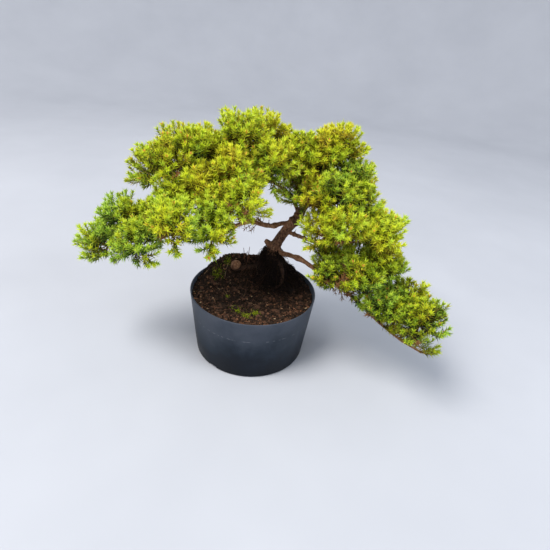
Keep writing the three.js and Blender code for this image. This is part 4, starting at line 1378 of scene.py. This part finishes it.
def root_hair(rng, foot, hanging):
    """The line of a fine root, which sinks from the trunk or lies on the bank, up to the soil's edge."""
    heading = rng.uniform(0, TURN)
    reach = rng.uniform(6.8, 8.6) if hanging else rng.uniform(8, 30)
    x, y = foot[0] + reach * math.cos(heading), foot[1] + reach * math.sin(heading)
    if not hanging:
        x += HAIRS["shift"]
        if math.hypot(x, y) > HAIRS["edge"]:
            return []
    z = foot[2] + rng.uniform(1, 8) if hanging else rough_height(x, y) + rng.uniform(0.5, 3)
    line = [[x, y, z]]
    for _ in range(rng.integers(5, 11)):
        heading += rng.uniform(-0.9, 0.9)
        step = rng.uniform(0.6, 2.2) if z > rough_height(x, y) + 2 else 2.6
        x += step * math.cos(heading)
        y += step * math.sin(heading)
        if math.hypot(x, y) > HAIRS["edge"]:
            break
        z = max(z - rng.uniform(0.4, 3.4), rough_height(x, y) + rng.uniform(0, 1.6))
        line.append([x, y, z])
    return line


def make_fine_roots(material):
    """Thin dark roots that hang from the trunk's foot, a tangle of them down the bank, and old twigs."""
    rng = np.random.default_rng(13)
    parts = Parts()
    foot = CURVES["trunk"].at(HAIRS["from"])
    for k in range(HAIRS["count"]):
        line = root_hair(rng, foot, k < HAIRS["hanging"])
        if len(line) > 2:
            radii = np.linspace(rng.uniform(0.14, 0.4), 0.1, len(line))
            parts.add(*tube(line, radii, 3), 0, rng.uniform(0, 0.55))
    for x, y, height, lean in OLD_TWIGS:
        low = rough_height(x, y) - 2
        line = []
        for share in np.linspace(0, 1, 5):
            line.append([x + lean * share + rng.uniform(-0.6, 0.6), y, low + (height + 2) * share])
        parts.add(*tube(line, np.linspace(0.55, 0.25, 5), 5), 0, 0.6)
    return parts.make("fine_roots", [material], "wood")


def make_moss(material):
    rng = np.random.default_rng(14)
    parts = Parts()
    for x0, y0, spread in MOSS_PATCHES:
        count = int(8 * spread * spread)
        x = x0 + rng.normal(0, spread * 0.45, count)
        y = y0 + rng.normal(0, spread * 0.45, count)
        keep = np.hypot(x, y) < MOSS_EDGE
        x, y = x[keep], y[keep]
        count = len(x)
        foot = np.array([(a, b, rough_height(a, b) - 0.2) for a, b in zip(x, y)])
        way = np.column_stack([rng.normal(0, 0.5, count), rng.normal(0, 0.5, count), np.ones(count)])
        way = unit(way)
        across = np.cross(way, rng.normal(size=(count, 3)))
        tone = rng.uniform(0.2, 0.9, count)
        length = rng.uniform(1.3, 2.8, count)
        width = rng.uniform(0.28, 0.46, count)
        add_needles(parts, foot, way, across, length, width, 0, 0, tone, 0.1)
    return parts.make("moss", [material], "foliage")


# Floor, wall, light and camera
def add_round_sheet(name, outline, material):
    """A sheet turned about the middle of the floor, which is part of the room."""
    mesh = mesh_of(name, *turned(outline, STAGE_SIDES))
    mesh.materials.append(material)
    mesh.shade_smooth()
    sheet = put(name, mesh)
    return sheet


def make_stage():
    """A pale floor that curves up into a round wall, the same from every side."""
    paint = Paint("pale_floor", 0.7, 0.2)
    material = paint.done(paint.ramp(paint.noise(0.004, 3), FLOOR_STOPS))
    radius = WALL_FOOT + WALL_BEND
    bend = arc((WALL_FOOT, WALL_BEND), WALL_BEND, 0, -90, 13)
    add_round_sheet("floor", [(radius, WALL_TOP)] + bend + [(0, 0)], material)
    # Closes low views of the room, and lets the light through
    above = add_round_sheet("wall_above", [(radius, WALL_CREST), (radius, WALL_TOP)], material)
    above.visible_diffuse = False
    above.visible_glossy = False
    above.visible_shadow = False


def add_light(name, place, aim, size, power, colour):
    data = bpy.data.lights.new(name, "AREA")
    data.shape = "DISK"
    data.size = size
    data.energy = power
    data.color = colour
    lamp = put(name, data)
    lamp.location = place
    lamp.rotation_euler = (Vector(aim) - Vector(place)).to_track_quat("-Z", "Y").to_euler()


def make_lights():
    world = bpy.data.worlds.new("studio")
    world.use_nodes = True
    background = world.node_tree.nodes["Background"]
    background.inputs["Color"].default_value = (*SKY_COLOUR, 1)
    background.inputs["Strength"].default_value = SKY_STRENGTH
    bpy.context.scene.world = world
    add_light("key", (-1.0, -0.7, 2.2), (0, 0, 0.1), 1.2, 62, (1, 0.97, 0.93))
    add_light("fill", (1.4, -0.7, 1.3), (0, 0, 0.12), 1.0, 14, (0.9, 0.95, 1))
    bpy.context.scene.view_settings.view_transform = "Standard"


def make_camera():
    data = bpy.data.cameras.new("camera")
    data.sensor_width = SENSOR
    data.lens = CAMERA_LENS
    camera = put("camera", data)
    pitch = Matrix.Rotation(math.radians(90 - CAMERA_PITCH), 4, "X")
    roll = Matrix.Rotation(math.radians(CAMERA_ROLL), 4, "Z")
    camera.matrix_world = Matrix.Translation(Vector(CAMERA_PLACE) * MM) @ pitch @ roll
    bpy.context.scene.camera = camera


make_camera()
make_lights()
make_stage()
make_pot(pot_material())
make_soil(soil_material())
crumbs = crumb_material()
make_crumbs(crumbs)
make_fibres(crumbs)
make_wood(bark_material())
make_fine_roots(crumbs)
leaf = leaf_material("juniper_needles", 0)
make_moss(leaf)
foliage_materials = [
    twig_material(), leaf, leaf_material("needle_bands", 0.26),
    plain_plant_material("dead_needles", (0.1, 0.042, 0.013), (0.34, 0.16, 0.05)),
    plain_plant_material("new_buds", (0.7, 0.17, 0.05), (0.85, 0.36, 0.1), 0.5),
]
bunches = find_bunches()
for order, bunch in enumerate(bunches):
    dress_bunch(bunch, order, foliage_materials)
make_sprigs(bunches, foliage_materials)
